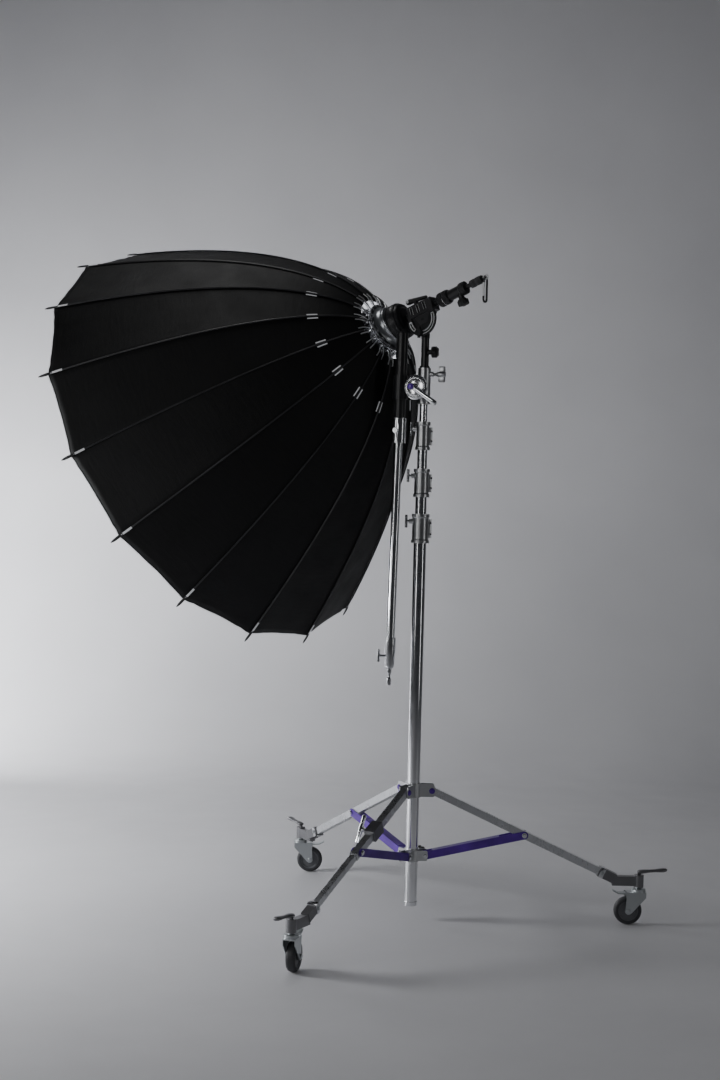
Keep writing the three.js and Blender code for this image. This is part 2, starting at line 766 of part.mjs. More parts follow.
function boomHead() {
  const { bottom, top, wall, pivotHeight, riserTop, bossRadius, bossReach, turn } = HEAD;
  const { knobHeight, knobTurn } = HEAD;
  const bore = topRadius + GAP;
  const receiver = POST.radius + GAP;
  const outer = bore + wall;
  const shell = turned([
    [bore, bottom], [outer, bottom], [outer, top], [receiver, top], [receiver, riserTop + GAP + 4],
    [bore - 6, riserTop + GAP + 4], [bore - 6, riserTop + GAP], [bore, riserTop + GAP], [bore, bottom],
  ]);
  const pivotBoss = alongX(cylinder(bossRadius, bore + 2, bossReach))
    .rotateZ(turn * DEG)
    .translate(0, 0, pivotHeight);
  const screwEnd = CLUTCH.hubEnd + CLUTCH.discWall + BOOM_HANDLE.bossLength + 4;
  const screw = alongX(cylinder(BOOM_SCREW, bossReach - 2, screwEnd, SMALL_ROUND))
    .rotateZ(turn * DEG)
    .translate(0, 0, pivotHeight);
  const knobBoss = alongX(cylinder(T_HANDLE.bossRadius, bore + 3, outer + 10, SMALL_ROUND));
  const knobDrill = alongX(cylinder(T_HANDLE.shaftRadius + GAP, 0, outer + 11, SMALL_ROUND));
  const atKnob = (geometry) => geometry.rotateZ(knobTurn * DEG).translate(0, 0, knobHeight);
  return cut(join(shell, pivotBoss, screw, atKnob(knobBoss)), atKnob(knobDrill));
}

// In the boom's frame +X is out along the pivot, +Y is away from the boom, and the pivot is the origin.
function boomClutch() {
  const { hubRadius, discRadius, discWall, hubEnd, armOffset, armReach, sleeveHeight, sleeveWall } = CLUTCH;
  const start = HEAD.bossReach + GAP;
  const hub = alongX(cylinder(hubRadius, start, hubEnd + 1));
  const face = hubEnd + discWall;
  const disc = alongX(
    turned([[0, hubEnd], [discRadius, hubEnd], [discRadius, face - 3], [discRadius - 5, face], [0, face]], 28),
  );
  const bore = BOOM.gripRadius + GAP;
  const sleeve = tube(bore, bore + sleeveWall, -sleeveHeight / 2, sleeveHeight / 2);
  sleeve.translate(armReach, -armOffset, 0);
  const web = block(start, hubEnd, -armOffset + bore - 2, 0, -hubRadius + 4, hubRadius - 4);
  const room = cylinder(bore, -sleeveHeight, sleeveHeight).translate(armReach, -armOffset, 0);
  const eye = alongX(cylinder(BOOM_SCREW + GAP, start - 5, face + 5, SMALL_ROUND));
  return cut(join(hub, disc, sleeve, web), room, eye);
}

function boomHandle() {
  const { bossRadius, bossLength, tail, reach, width, thickness, angle } = BOOM_HANDLE;
  const boss = alongX(cylinder(bossRadius, 0, bossLength, SMALL_ROUND));
  const lever = plate(roundBar(-tail, 0, reach, 0, width), thickness)
    .rotateZ(Math.PI / 2)
    .rotateX(angle * DEG)
    .translate(thickness / 2 + 4, 0, 0);
  return cut(join(boss, lever), alongX(cylinder(BOOM_SCREW + GAP, -5, bossLength + 5, SMALL_ROUND)));
}

function buildBoom(head) {
  const pivot = new THREE.Group();
  pivot.name = "joint:boom_swing";
  pivot.position.set(0, 0, HEAD.pivotHeight);
  pivot.rotation.order = "ZYX";
  pivot.rotation.set(-BOOM.hang * DEG, 0, HEAD.turn * DEG);
  head.add(pivot);
  add(pivot, "boom_clutch", boomClutch(), chrome);

  const { hubEnd, discWall, armReach, armOffset } = CLUTCH;
  const lever = frame(pivot, hubEnd + discWall + GAP, 0, 0, 0, 0, "joint:boom_handle_turn");
  add(lever, "boom_handle", boomHandle(), chrome);

  const arm = frame(pivot, armReach, -armOffset, 0, 0, 0, "joint:boom_arm_slide");
  const { gripRadius, gripAbove, gripBelow, innerRadius, innerWall, clampHeight, clampWall } = BOOM;
  const { innerInside, innerBelow, endHeight, endWall, pinRadius, pinLength } = BOOM;
  const innerBore = innerRadius + GAP;
  add(arm, "boom_grip_tube", tube(innerBore + 1, gripRadius, -gripBelow, gripAbove), blackPaint);

  const clampTop = -gripBelow - GAP;
  const clampBottom = clampTop - clampHeight;
  const clampRim = gripRadius + clampWall;
  const boss = alongX(cylinder(T_HANDLE.bossRadius, innerBore + 2, clampRim + 9, SMALL_ROUND))
    .translate(0, 0, (clampTop + clampBottom) / 2);
  const clampBody = join(cylinder(clampRim, clampBottom, clampTop), boss);
  const clampBore = cylinder(innerBore, clampBottom - 1, clampTop + 1);
  add(arm, "boom_tube_clamp", cut(clampBody, clampBore), chrome);

  const inner = frame(arm, 0, 0, 0, 0, 0, "joint:boom_inner_slide");
  const innerTop = clampBottom + innerInside;
  add(inner, "boom_inner_tube", tube(innerRadius - innerWall, innerRadius, -innerBelow, innerTop), chrome);

  const endBottom = -innerBelow - endHeight + 30;
  const endRadius = innerRadius + endWall;
  const endKnobHeight = endBottom + 34;
  const endBody = turned([
    [0, endBottom - 8], [endRadius - 6, endBottom - 8], [endRadius - 2, endBottom],
    [endRadius - 2, endBottom + 40], [endRadius, endBottom + 44], [endRadius, -innerBelow + 30],
    [innerRadius + GAP, -innerBelow + 30], [innerRadius + GAP, -innerBelow - GAP], [0, -innerBelow - GAP],
  ]);
  const pin = turned([
    [0, endBottom - 8 - pinLength], [pinRadius - 1, endBottom - 8 - pinLength],
    [pinRadius, endBottom - pinLength - 4], [pinRadius, endBottom - 46], [pinRadius - 3, endBottom - 42],
    [pinRadius - 3, endBottom - 30], [pinRadius, endBottom - 26], [pinRadius, endBottom], [0, endBottom],
  ], SMALL_ROUND);
  const endTurn = 180 - HEAD.turn;
  const seat = alongX(cylinder(T_HANDLE.shaftRadius + GAP, endRadius - 9, endRadius + 10, SMALL_ROUND));
  const place = (geometry) => geometry.translate(0, 0, endKnobHeight).rotateZ(endTurn * DEG);
  add(inner, "boom_end_fitting", cut(join(endBody, pin), place(seat)), chrome);
  const knobStart = endRadius - 9 + GAP;
  const knob = frame(
    inner,
    knobStart * Math.cos(endTurn * DEG),
    knobStart * Math.sin(endTurn * DEG),
    endKnobHeight,
    endTurn,
    0,
    "joint:boom_end_knob_turn",
  );
  add(knob, "boom_end_knob", tHandle(), chrome);
}

// ---------------------------------------------------------------- tilt bracket

const tiltScrewHeight = TILT.height - (TILT.arcInner + TILT.arcOuter) / 2;
const carrierRadius = ROD.radius + GAP + CARRIER.wall;

// The upright post: a pin in the boom head, a shoulder, a column and the tongue that the bracket tilts on.
function bracketPost() {
  const { radius, shoulderRadius, shoulder, top, tongue, tongueWidth } = POST;
  const seat = HEAD.top + GAP;
  const column = turned([
    [0, HEAD.pinBottom], [radius, HEAD.pinBottom], [radius, seat], [shoulderRadius, seat],
    [shoulderRadius, seat + shoulder], [radius, seat + shoulder], [radius, top], [0, top],
  ]);
  const half = tongueWidth / 2;
  const outline = new THREE.Shape()
    .moveTo(-half, top - 10)
    .lineTo(half, top - 10)
    .lineTo(half, TILT.height)
    .absarc(0, TILT.height, half, 0, Math.PI, false)
    .closePath();
  const tongueWidthwise = plate(outline, tongue);
  const blockHalf = TILT.blockWidth / 2;
  const pin = alongY(cylinder(TILT_PIN, -blockHalf, blockHalf, SMALL_ROUND)).translate(0, 0, TILT.height);
  // The clamp screw stands out towards -Y, through the slot of the arc.
  const screwReach = blockHalf + TILT.arcWall + 8;
  const screw = alongY(cylinder(TILT_KNOB.screwRadius, -screwReach, 0, SMALL_ROUND));
  screw.translate(0, 0, tiltScrewHeight);
  const boss = alongX(cylinder(9, 0, POST.knobBoss, SMALL_ROUND));
  const drill = alongX(cylinder(T_HANDLE.shaftRadius + GAP, radius - 4, POST.knobBoss + 1, SMALL_ROUND));
  const place = (geometry) => geometry.rotateZ(POST.knobTurn * DEG).translate(0, 0, POST.knobHeight);
  return cut(join(column, tongueWidthwise, pin, screw, place(boss)), place(drill));
}

// The slotted half circle on the near side of the bracket.
function arcPlate() {
  const { arcInner, arcOuter, arcSlot, arcSpan, arcWall, blockWidth } = TILT;
  const from = (-90 - arcSpan) * DEG;
  const to = (-90 + arcSpan) * DEG;
  const mid = (arcInner + arcOuter) / 2;
  const segments = 14;
  const ring = (inner, outer, start, end) => {
    const points = [];
    for (let i = 0; i <= segments; i++) {
      const angle = start + ((end - start) * i) / segments;
      points.push([outer * Math.cos(angle), outer * Math.sin(angle)]);
    }
    for (let i = segments; i >= 0; i--) {
      const angle = start + ((end - start) * i) / segments;
      points.push([inner * Math.cos(angle), inner * Math.sin(angle)]);
    }
    return points;
  };
  const y = -blockWidth / 2 - arcWall / 2;
  const slotEnd = 8 * DEG;
  const body = plate(ring(arcInner, arcOuter, from, to), arcWall, y);
  const slot = ring(mid - arcSlot / 2, mid + arcSlot / 2, from + slotEnd, to - slotEnd);
  return cut(body, plate(slot, arcWall + 4, y));
}

// The block that grips the rod, with a cheek each side of the tongue.
function tiltBlock() {
  const { rodOffset, blockFront, blockBack, blockWidth, blockBelow, blockAbove, arcInner, arcWall } = TILT;
  const half = blockWidth / 2;
  const low = rodOffset - blockBelow;
  const body = block(blockFront, blockBack, -half, half, low, rodOffset + blockAbove);
  const cheekOutline = [[-30, low + 1], [40, low + 1], [16, -16], [-16, -16]];
  const cheeks = [-1, 1].map((side) => plate(cheekOutline, TILT.cheekWall, side * (half - TILT.cheekWall / 2)));
  // Two ties carry the arc on the near face.
  const tieEnd = arcInner + 6;
  const ties = block(-tieEnd, tieEnd, -half - arcWall, -half + 1, low + 2, low + 12);
  const uprights = [-1, 1].map((side) => {
    const x = side * (arcInner + 9);
    return block(x - 7, x + 7, -half - arcWall, -half, -3, low + 12);
  });
  const slotTop = rodOffset + blockAbove - 6;
  const slots = [-34, -6, 22].map((x) => block(x - 5, x + 5, -half - 1, -half + 5, low + 6, slotTop));
  const tiltHole = alongY(cylinder(TILT_PIN + GAP, -half - 9, half + 9, SMALL_ROUND));
  const bore = alongX(cylinder(carrierRadius + GAP, blockFront - 5, blockBack + 5)).translate(0, 0, rodOffset);
  const made = join(body, ...cheeks, ties, ...uprights, arcPlate());
  const seatBottom = rodOffset + carrierRadius + 5;
  const leverSeat = cylinder(ROD_LEVER.studRadius + GAP, seatBottom, rodOffset + blockAbove + 5, SMALL_ROUND);
  leverSeat.translate(ROD_LEVER.at, 0, 0);
  return cut(made, ...slots, tiltHole, bore, leverSeat);
}

// A tapered lever across the top of its boss. Its thick end is towards the canopy.
function rodLever() {
  const { tail, tip, tailRadius, tipRadius, slope, lift, bossRadius, studRadius } = ROD_LEVER;
  const boss = cylinder(bossRadius, GAP, lift, SMALL_ROUND);
  const stud = cylinder(studRadius, carrierRadius + 6 - TILT.blockAbove, 2, SMALL_ROUND);
  const bar = turned([
    [0, tail], [tailRadius - 2, tail], [tailRadius, tail + 3], [tailRadius, tail + 16], [tipRadius, tip - 3],
    [tipRadius - 2, tip], [0, tip],
  ], SMALL_ROUND);
  return join(boss, stud, alongX(bar).rotateY(slope * DEG).translate(0, 0, lift));
}

// The winged nut on the tilt bracket's clamp screw, which points towards -Y.
function tiltKnob() {
  const { radius, depth, wingLength, wingWidth, screwRadius } = TILT_KNOB;
  const start = TILT.blockWidth / 2 + TILT.arcWall + GAP;
  const end = start + depth;
  const body = cylinder(radius, start, end, SMALL_ROUND);
  const wing = block(-wingWidth / 2, wingWidth / 2, -wingLength / 2, wingLength / 2, start + depth / 2, end);
  const bore = cylinder(screwRadius + GAP, start - 1, start + 10, SMALL_ROUND);
  return cut(join(body, wing), bore).rotateX(Math.PI / 2);
}

// ---------------------------------------------------------------- rod, sleeve, knob and hook

function focusRod() {
  const { radius, front, back, capRadius, capLength } = ROD;
  const bar = alongX(
    turned([
      [0, front], [radius, front], [radius, back - capLength], [capRadius, back - capLength + 2],
      [capRadius, back - 4], [capRadius - 3, back], [0, back],
    ]),
  );
  const { reach, bore, wall, thickness } = EYE;
  const tab = plate(roundBar(-6, 0, reach, 0, 2 * (bore + wall)), thickness);
  const hole = alongY(cylinder(bore, -thickness, thickness, SMALL_ROUND)).translate(reach, 0, 0);
  return join(bar, cut(tab, hole).translate(back, 0, 0));
}

function rodSleeve() {
  const { front, back, collarRadius, collarLength, radius, bossRadius, bossReach, knobAt } = SLEEVE;
  const bore = ROD.radius + GAP;
  const seat = carrierRadius + GAP;
  const seatEnd = CARRIER.back + GAP;
  const body = alongX(
    turned([
      [seat, front], [collarRadius - 4, front], [collarRadius, front + 4], [collarRadius, front + collarLength],
      [radius, front + collarLength + 4], [radius, back - 26], [radius + 4, back - 22], [radius + 4, back],
      [bore, back], [bore, seatEnd], [seat, seatEnd], [seat, front],
    ]),
  );
  const low = -radius - bossReach;
  const boss = cylinder(bossRadius, low, -bore - 2, SMALL_ROUND).translate(knobAt, 0, 0);
  const drill = cylinder(T_HANDLE.shaftRadius + GAP, low - 1, -bore + 3, SMALL_ROUND);
  return cut(join(body, boss), drill.translate(knobAt, 0, 0));
}

// A closed spring hook that hangs from the tab. Its frame is on the middle of its top bend.
function snapHook() {
  const { length, width, wire } = HOOK;
  const middle = (width - wire) / 2;
  const loop = (loopWidth) => roundBar(0, -middle, 0, -middle - (length - width), loopWidth);
  const hook = cut(plate(loop(width), wire), plate(loop(width - 2 * wire), 2 * wire));
  return hook.rotateZ(Math.PI / 2);
}

// ---------------------------------------------------------------- crown, dome, canopy and ribs

function crownHub() {
  const { flangeRadius, flangeWall, frontFlange, rearFlange, drumRadius, bowlEnd, bowlRadius, wall } = CROWN;
  const { neckRadius, neckBore, neckEnd } = CROWN;
  const inner = drumRadius - wall;
  const body = alongX(
    turned([
      [inner, frontFlange], [flangeRadius, frontFlange], [flangeRadius, frontFlange + flangeWall],
      [drumRadius, frontFlange + flangeWall], [drumRadius, rearFlange], [flangeRadius - 6, rearFlange],
      [flangeRadius - 6, rearFlange + flangeWall], [drumRadius, rearFlange + flangeWall],
      [bowlRadius + 6, bowlEnd - 8], [bowlRadius, bowlEnd], [neckRadius, bowlEnd], [neckRadius, neckEnd],
      [neckBore, neckEnd], [neckBore, bowlEnd - wall], [bowlRadius - wall, bowlEnd - wall - 6],
      [inner, rearFlange + flangeWall - 4], [inner, frontFlange],
    ], 32),
  );
  const slots = [];
  const slotHalf = CROWN.slotWidth / 2;
  const slotFloor = flangeRadius - CROWN.slotDepth;
  for (let i = 0; i < CANOPY.ribs; i++) {
    const slotBack = rearFlange + flangeWall + 1;
    const slot = block(frontFlange - 1, slotBack, -slotHalf, slotHalf, slotFloor, flangeRadius + 2);
    slots.push(slot.rotateX(ribAngle(i)));
  }
  return cut(body, ...slots);
}

function ribAngle(index) {
  return (CANOPY.phase + (index * 360) / CANOPY.ribs) * DEG;
}

const droop = (AIM.canopyRise - AIM.rodRise) * DEG; // how far the canopy sags below the rod's line

// The turned head behind the crown, in one piece with the carrier tube that runs back through the tilt block.
// It starts where the crown's neck ends, below the rod.
function hubDome() {
  const { rimWall, back, radius, backRadius } = DOME;
  const neckBack = CROWN.neckEnd * Math.cos(droop) + CROWN.neckRadius * Math.sin(droop);
  const front = CROWN.behindMast + neckBack + GAP;
  const bore = ROD.radius + GAP;
  const rim = front + rimWall;
  return alongX(
    turned([
      [bore, front], [radius - 6, front], [radius, front + 5], [radius, rim], [radius - 5, rim + 5],
      [backRadius + 8, back - 4], [backRadius, back], [carrierRadius, back], [carrierRadius, CARRIER.back],
      [bore, CARRIER.back], [bore, front],
    ]),
  );
}

// Distance from the canopy's axis at a distance s in front of the crown centre.
function canopyRadius(s) {
  const { depth, tipRadius, apexBehind, power } = CANOPY;
  return tipRadius * Math.pow(Math.max(s + apexBehind, 0) / (depth + apexBehind), power);
}

// Distances from the crown at which the cloth's outline bends, closer together near the crown.
function canopyStations() {
  const { fabricStart, depth, tipOverhang, rings } = CANOPY;
  const end = depth - tipOverhang;
  const last = rings - 1;
  return Array.from({ length: rings }, (_, i) => fabricStart + (end - fabricStart) * (i / last) ** 1.7);
}

// A thin shell with a flat gore between each pair of ribs, open at the front and at the crown.
function canopyShell() {
  const { ribs, cloth } = CANOPY;
  const stations = canopyStations();
  const positions = [];
  const index = [];
  const count = stations.length;
  for (const inset of [0, cloth]) {
    for (const s of stations) {
      const slope = canopyRadius(s + 1) - canopyRadius(s);
      const length = Math.hypot(1, slope);
      const radius = canopyRadius(s) - inset / length;
      const along = s + (inset * slope) / length;
      for (let i = 0; i < ribs; i++) {
        const angle = ribAngle(i);
        positions.push(-along, -radius * Math.sin(angle), radius * Math.cos(angle));
      }
    }
  }
  const at = (layer, ring, i) => (layer * count + ring) * ribs + (i % ribs);
  const quad = (a, b, c, d) => index.push(a, c, b, a, d, c);
  for (let i = 0; i < ribs; i++) {
    for (let ring = 0; ring + 1 < count; ring++) {
      quad(at(0, ring, i), at(0, ring, i + 1), at(0, ring + 1, i + 1), at(0, ring + 1, i));
      quad(at(1, ring, i), at(1, ring + 1, i), at(1, ring + 1, i + 1), at(1, ring, i + 1));
    }
    quad(at(0, 0, i), at(1, 0, i), at(1, 0, i + 1), at(0, 0, i + 1));
    quad(at(0, count - 1, i), at(0, count - 1, i + 1), at(1, count - 1, i + 1), at(1, count - 1, i));
  }
  const geometry = new THREE.BufferGeometry();
  geometry.setAttribute("position", new THREE.BufferAttribute(new Float32Array(positions), 3));
  geometry.setIndex(index);
  geometry.computeVertexNormals();
  return geometry;
}

// A round bar of equal section along points that lie in X and Z.
function planarSweep(points, radius, sides) {
  const positions = [];
  const index = [];
  points.forEach((point, i) => {
    const before = points[Math.max(i - 1, 0)];
    const after = points[Math.min(i + 1, points.length - 1)];
    const along = after.clone().sub(before).normalize();
    for (let k = 0; k < sides; k++) {
      const angle = (k / sides) * 2 * Math.PI;
      const out = radius * Math.cos(angle);
      positions.push(point.x - out * along.y, radius * Math.sin(angle), point.y + out * along.x);
    }
  });
  const at = (ring, k) => ring * sides + (k % sides);
  for (let ring = 0; ring + 1 < points.length; ring++) {
    for (let k = 0; k < sides; k++) {
      index.push(at(ring, k), at(ring + 1, k + 1), at(ring, k + 1));
      index.push(at(ring, k), at(ring + 1, k), at(ring + 1, k + 1));
    }
  }
  const last = points.length - 1;
  for (let k = 1; k + 1 < sides; k++) {
    index.push(at(0, 0), at(0, k), at(0, k + 1));
    index.push(at(last, 0), at(last, k + 1), at(last, k));
  }
  const geometry = new THREE.BufferGeometry();
  geometry.setAttribute("position", new THREE.BufferAttribute(new Float32Array(positions), 3));
  geometry.setIndex(index);
  return geometry;
}

// The ribs on one hinge wire, which lies between the two flanges of the crown. They bend where the cloth does.
function ribCage() {
  const { radius, sides, ringRadius, ringWire, ringAt, standoff } = RIB;
  const away = radius + standoff;
  const points = [new THREE.Vector2(ringAt, ringRadius)];
  for (const s of [...canopyStations(), CANOPY.depth]) {
    const slope = canopyRadius(s + 1) - canopyRadius(s);
    const length = Math.hypot(1, slope);
    points.push(new THREE.Vector2(-s + (away * slope) / length, canopyRadius(s) + away / length));
  }
  const rib = toSolid(planarSweep(points, radius, sides));
  const wire = tube(ringRadius - ringWire, ringRadius + ringWire, ringAt - ringWire, ringAt + ringWire, 32);
  let cage = toSolid(alongX(wire));
  for (let i = 0; i < CANOPY.ribs; i++) cage = cage.add(rib.rotate([ribAngle(i) / DEG, 0, 0]));
  return toGeometry(cage);
}

function lampMount() {
  const { collarRadius, collarLength, plateRadius, plateWall } = LAMP_MOUNT;
  const bore = ROD.radius + GAP;
  return alongX(
    turned([
      [bore, 0], [plateRadius, 0], [plateRadius, plateWall], [collarRadius, plateWall + 4],
      [collarRadius, collarLength], [bore, collarLength], [bore, 0],
    ], 24),
  );
}

function buildSoftbox(head) {
  const pan = frame(head, 0, 0, 0, AIM.turn, 0, "joint:head_pan");
  add(pan, "bracket_post", bracketPost(), blackPaint);
  const knob = frame(pan, 0, 0, tiltScrewHeight, 0, 0, "joint:tilt_knob_turn");
  add(knob, "tilt_knob", tiltKnob(), blackPaint);

  const postKnobStart = POST.radius - 4 + GAP;
  const postKnob = frame(
    pan,
    postKnobStart * Math.cos(POST.knobTurn * DEG),
    postKnobStart * Math.sin(POST.knobTurn * DEG),
    POST.knobHeight,
    POST.knobTurn,
    0,
    "joint:post_knob_turn",
  );
  add(postKnob, "post_knob", starKnob(POST.knobShaft, POST.knobRadius), blackPaint);

  const tilt = frame(pan, 0, 0, TILT.height, 0, -AIM.rodRise, "joint:softbox_tilt");
  add(tilt, "tilt_block", tiltBlock(), aluminium);
  const lever = frame(tilt, ROD_LEVER.at, 0, TILT.rodOffset + TILT.blockAbove, 0, 0, "joint:rod_lever_turn");
  add(lever, "rod_lever", rodLever(), blackPaint);

  const line = frame(tilt, 0, 0, TILT.rodOffset);
  add(line, "rod_sleeve", rodSleeve(), blackPaint);
  add(line, "dome_and_carrier", hubDome(), blackPaint);
  const sleeveKnob = frame(line, SLEEVE.knobAt, 0, -ROD.radius - 2 * GAP, 0, 90, "joint:sleeve_knob_turn");
  add(sleeveKnob, "sleeve_knob", starKnob(SLEEVE.knobShaft, SLEEVE.knobRadius), blackPaint);

  const rod = frame(line, 0, 0, 0, 0, 0, "joint:focus_slide");
  add(rod, "focus_rod", focusRod(), blackPaint);
  const mount = frame(rod, ROD.front + 4, 0, 0);
  add(mount, "lamp_mount", lampMount(), aluminium);
  const hook = frame(rod, ROD.back + EYE.reach, 0, 0, 0, AIM.rodRise, "joint:hook_swing");
  add(hook, "snap_hook", snapHook(), steel);

  const canopy = frame(line, CROWN.behindMast, 0, 0, 0, -droop / DEG);
  add(canopy, "crown_hub", crownHub(), aluminium);
  add(canopy, "canopy", canopyShell(), blackCloth);
  add(canopy, "rib_cage", ribCage(), ribMetal);
}

// ---------------------------------------------------------------- the whole

function buildHead(parent) {
  add(parent, "boom_head", boomHead(), casting);
  const start = POST.radius + 2 * GAP;
  const turn = HEAD.knobTurn * DEG;
  const knob = frame(
    parent,
    start * Math.cos(turn),
    start * Math.sin(turn),
    HEAD.knobHeight,
    HEAD.knobTurn,
    0,
    "joint:receiver_knob_turn",
  );
  add(knob, "receiver_knob", starKnob(HEAD.knobShaft, HEAD.knobRadius), casting);
}

const top = buildMast();
buildLegs();
buildHead(top);
buildBoom(top);
buildSoftbox(top);

const softbox = new THREE.Group();
softbox.name = "studio_softbox";
softbox.add(assembly);
softbox.updateMatrixWorld(true);
const bounds = new THREE.Box3().setFromObject(softbox, true);
const middle = bounds.getCenter(new THREE.Vector3());
assembly.position.set(-middle.x, -middle.y, -bounds.min.z);

export default softbox;
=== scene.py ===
"""Looks for the studio softbox: a deep sixteen-rib softbox on a rolling stand with a stowed boom arm.

Units are metres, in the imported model's frame. Most hard pieces are finished copies of their CAD nodes, with
welded corners, rounded edges and smooth faces. The canopy, ribs, crown, wheels, levers and wing knob are
built here, and so are small trims such as bolts, bands and grips.
"""

import json
import math

import bmesh
import bpy
from mathutils import Matrix, Vector, noise


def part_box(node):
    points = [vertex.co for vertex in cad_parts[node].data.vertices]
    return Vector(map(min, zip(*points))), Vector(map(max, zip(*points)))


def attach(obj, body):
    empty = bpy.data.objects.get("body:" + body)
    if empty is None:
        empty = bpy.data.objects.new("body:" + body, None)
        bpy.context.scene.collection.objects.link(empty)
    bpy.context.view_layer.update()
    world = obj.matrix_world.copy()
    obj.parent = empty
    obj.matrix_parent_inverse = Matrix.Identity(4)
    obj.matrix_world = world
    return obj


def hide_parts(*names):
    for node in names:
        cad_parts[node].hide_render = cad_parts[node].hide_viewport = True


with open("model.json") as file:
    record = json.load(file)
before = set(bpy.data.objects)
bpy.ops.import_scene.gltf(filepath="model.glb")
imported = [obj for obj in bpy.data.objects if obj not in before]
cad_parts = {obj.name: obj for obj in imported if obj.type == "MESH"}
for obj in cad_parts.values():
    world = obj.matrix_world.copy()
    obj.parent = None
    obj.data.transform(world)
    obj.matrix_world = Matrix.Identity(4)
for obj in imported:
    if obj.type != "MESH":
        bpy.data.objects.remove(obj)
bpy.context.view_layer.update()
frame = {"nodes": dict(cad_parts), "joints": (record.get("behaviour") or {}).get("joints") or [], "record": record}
joints = {joint["name"]: joint for joint in frame["joints"]}
UP = Vector((0, 0, 1))
SIDES = ("right", "rear", "front")


# ------------------------------------------------------------------ places, from the frame

BASE_LOW, BASE_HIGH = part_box("base_tube")
MAST = Vector(((BASE_LOW.x + BASE_HIGH.x) / 2, (BASE_LOW.y + BASE_HIGH.y) / 2, 0))


def joint_axis(name):
    return Vector(joints[name]["axis"]).normalized()


def joint_place(name):
    return Vector(joints[name]["pos_m"])


def basis(origin, x, y, z):
    return Matrix.Translation(origin) @ Matrix((x, y, z)).transposed().to_4x4()


ROD_X = joint_axis("focus_slide")  # along the rod, away from the canopy
ROD_Y = -joint_axis("softbox_tilt")
ROD_Z = ROD_X.cross(ROD_Y)
EYE_AT = 0.276  # hook eye to mast, along the rod
ROD_ORIGIN = joint_place("hook_swing") - EYE_AT * ROD_X
ROD = basis(ROD_ORIGIN, ROD_X, ROD_Y, ROD_Z)

DROOP = math.radians(6)  # the canopy sags this much below the rod's line
CROWN_BEHIND = 0.1944  # crown centre to mast, along the rod
CROWN_X = ROD_X * math.cos(DROOP) + ROD_Z * math.sin(DROOP)
CROWN_Z = ROD_Z * math.cos(DROOP) - ROD_X * math.sin(DROOP)
CROWN = basis(ROD_ORIGIN - CROWN_BEHIND * ROD_X, CROWN_X, ROD_Y, CROWN_Z)

RIBS = 16
RIB_PHASE = math.radians(6.5)
DEPTH = 0.874  # crown centre to the plane of the rib tips
TIP_RADIUS = 0.840
APEX = 0.041
POWER = 0.536
CLOTH_START = -0.016
HEM_AT = 0.858


def rib_angle(index):
    return RIB_PHASE + index * 2 * math.pi / RIBS


def profile_radius(s):
    """Distance of a rib from the canopy's axis, at a distance s in front of the crown."""
    return TIP_RADIUS * (max(s + APEX, 0) / (DEPTH + APEX)) ** POWER


def profile_slope(s):
    return (profile_radius(s + 0.001) - profile_radius(s)) / 0.001


def crown_point(s, radius, angle):
    return CROWN @ Vector((-s, -radius * math.sin(angle), radius * math.cos(angle)))


def rib_point(s, angle, off=0.0):
    """A point on a rib's line, moved off the cloth by a distance."""
    slope = profile_slope(s)
    length = math.hypot(1, slope)
    return crown_point(s - off * slope / length, profile_radius(s) + off / length, angle)


# ------------------------------------------------------------------ camera, at the photograph's view

CAMERA_BACK = 5.834
CAMERA_HEIGHT = 1.518
CAMERA_DOWN = math.radians(1.64)
CAMERA_LEFT = math.radians(2.095)
CAMERA_ROLL = math.radians(1.49)
CAMERA_LENS = 54.72  # on a 36 mm long side


def make_camera():
    camera = bpy.data.objects.new("camera", bpy.data.cameras.new("camera"))
    bpy.context.scene.collection.objects.link(camera)
    camera.data.sensor_width = 36
    camera.data.lens = CAMERA_LENS
    level = Vector((-math.sin(CAMERA_LEFT), math.cos(CAMERA_LEFT), 0))
    right = Vector((math.cos(CAMERA_LEFT), math.sin(CAMERA_LEFT), 0))
    forward = level * math.cos(CAMERA_DOWN) - UP * math.sin(CAMERA_DOWN)
    up = level * math.sin(CAMERA_DOWN) + UP * math.cos(CAMERA_DOWN)
    x = right * math.cos(CAMERA_ROLL) + up * math.sin(CAMERA_ROLL)
    y = up * math.cos(CAMERA_ROLL) - right * math.sin(CAMERA_ROLL)
    place = MAST + Vector((0, -CAMERA_BACK, CAMERA_HEIGHT))
    camera.matrix_world = basis(place, x, y, -forward)
    bpy.context.scene.camera = camera


# ------------------------------------------------------------------ material kit


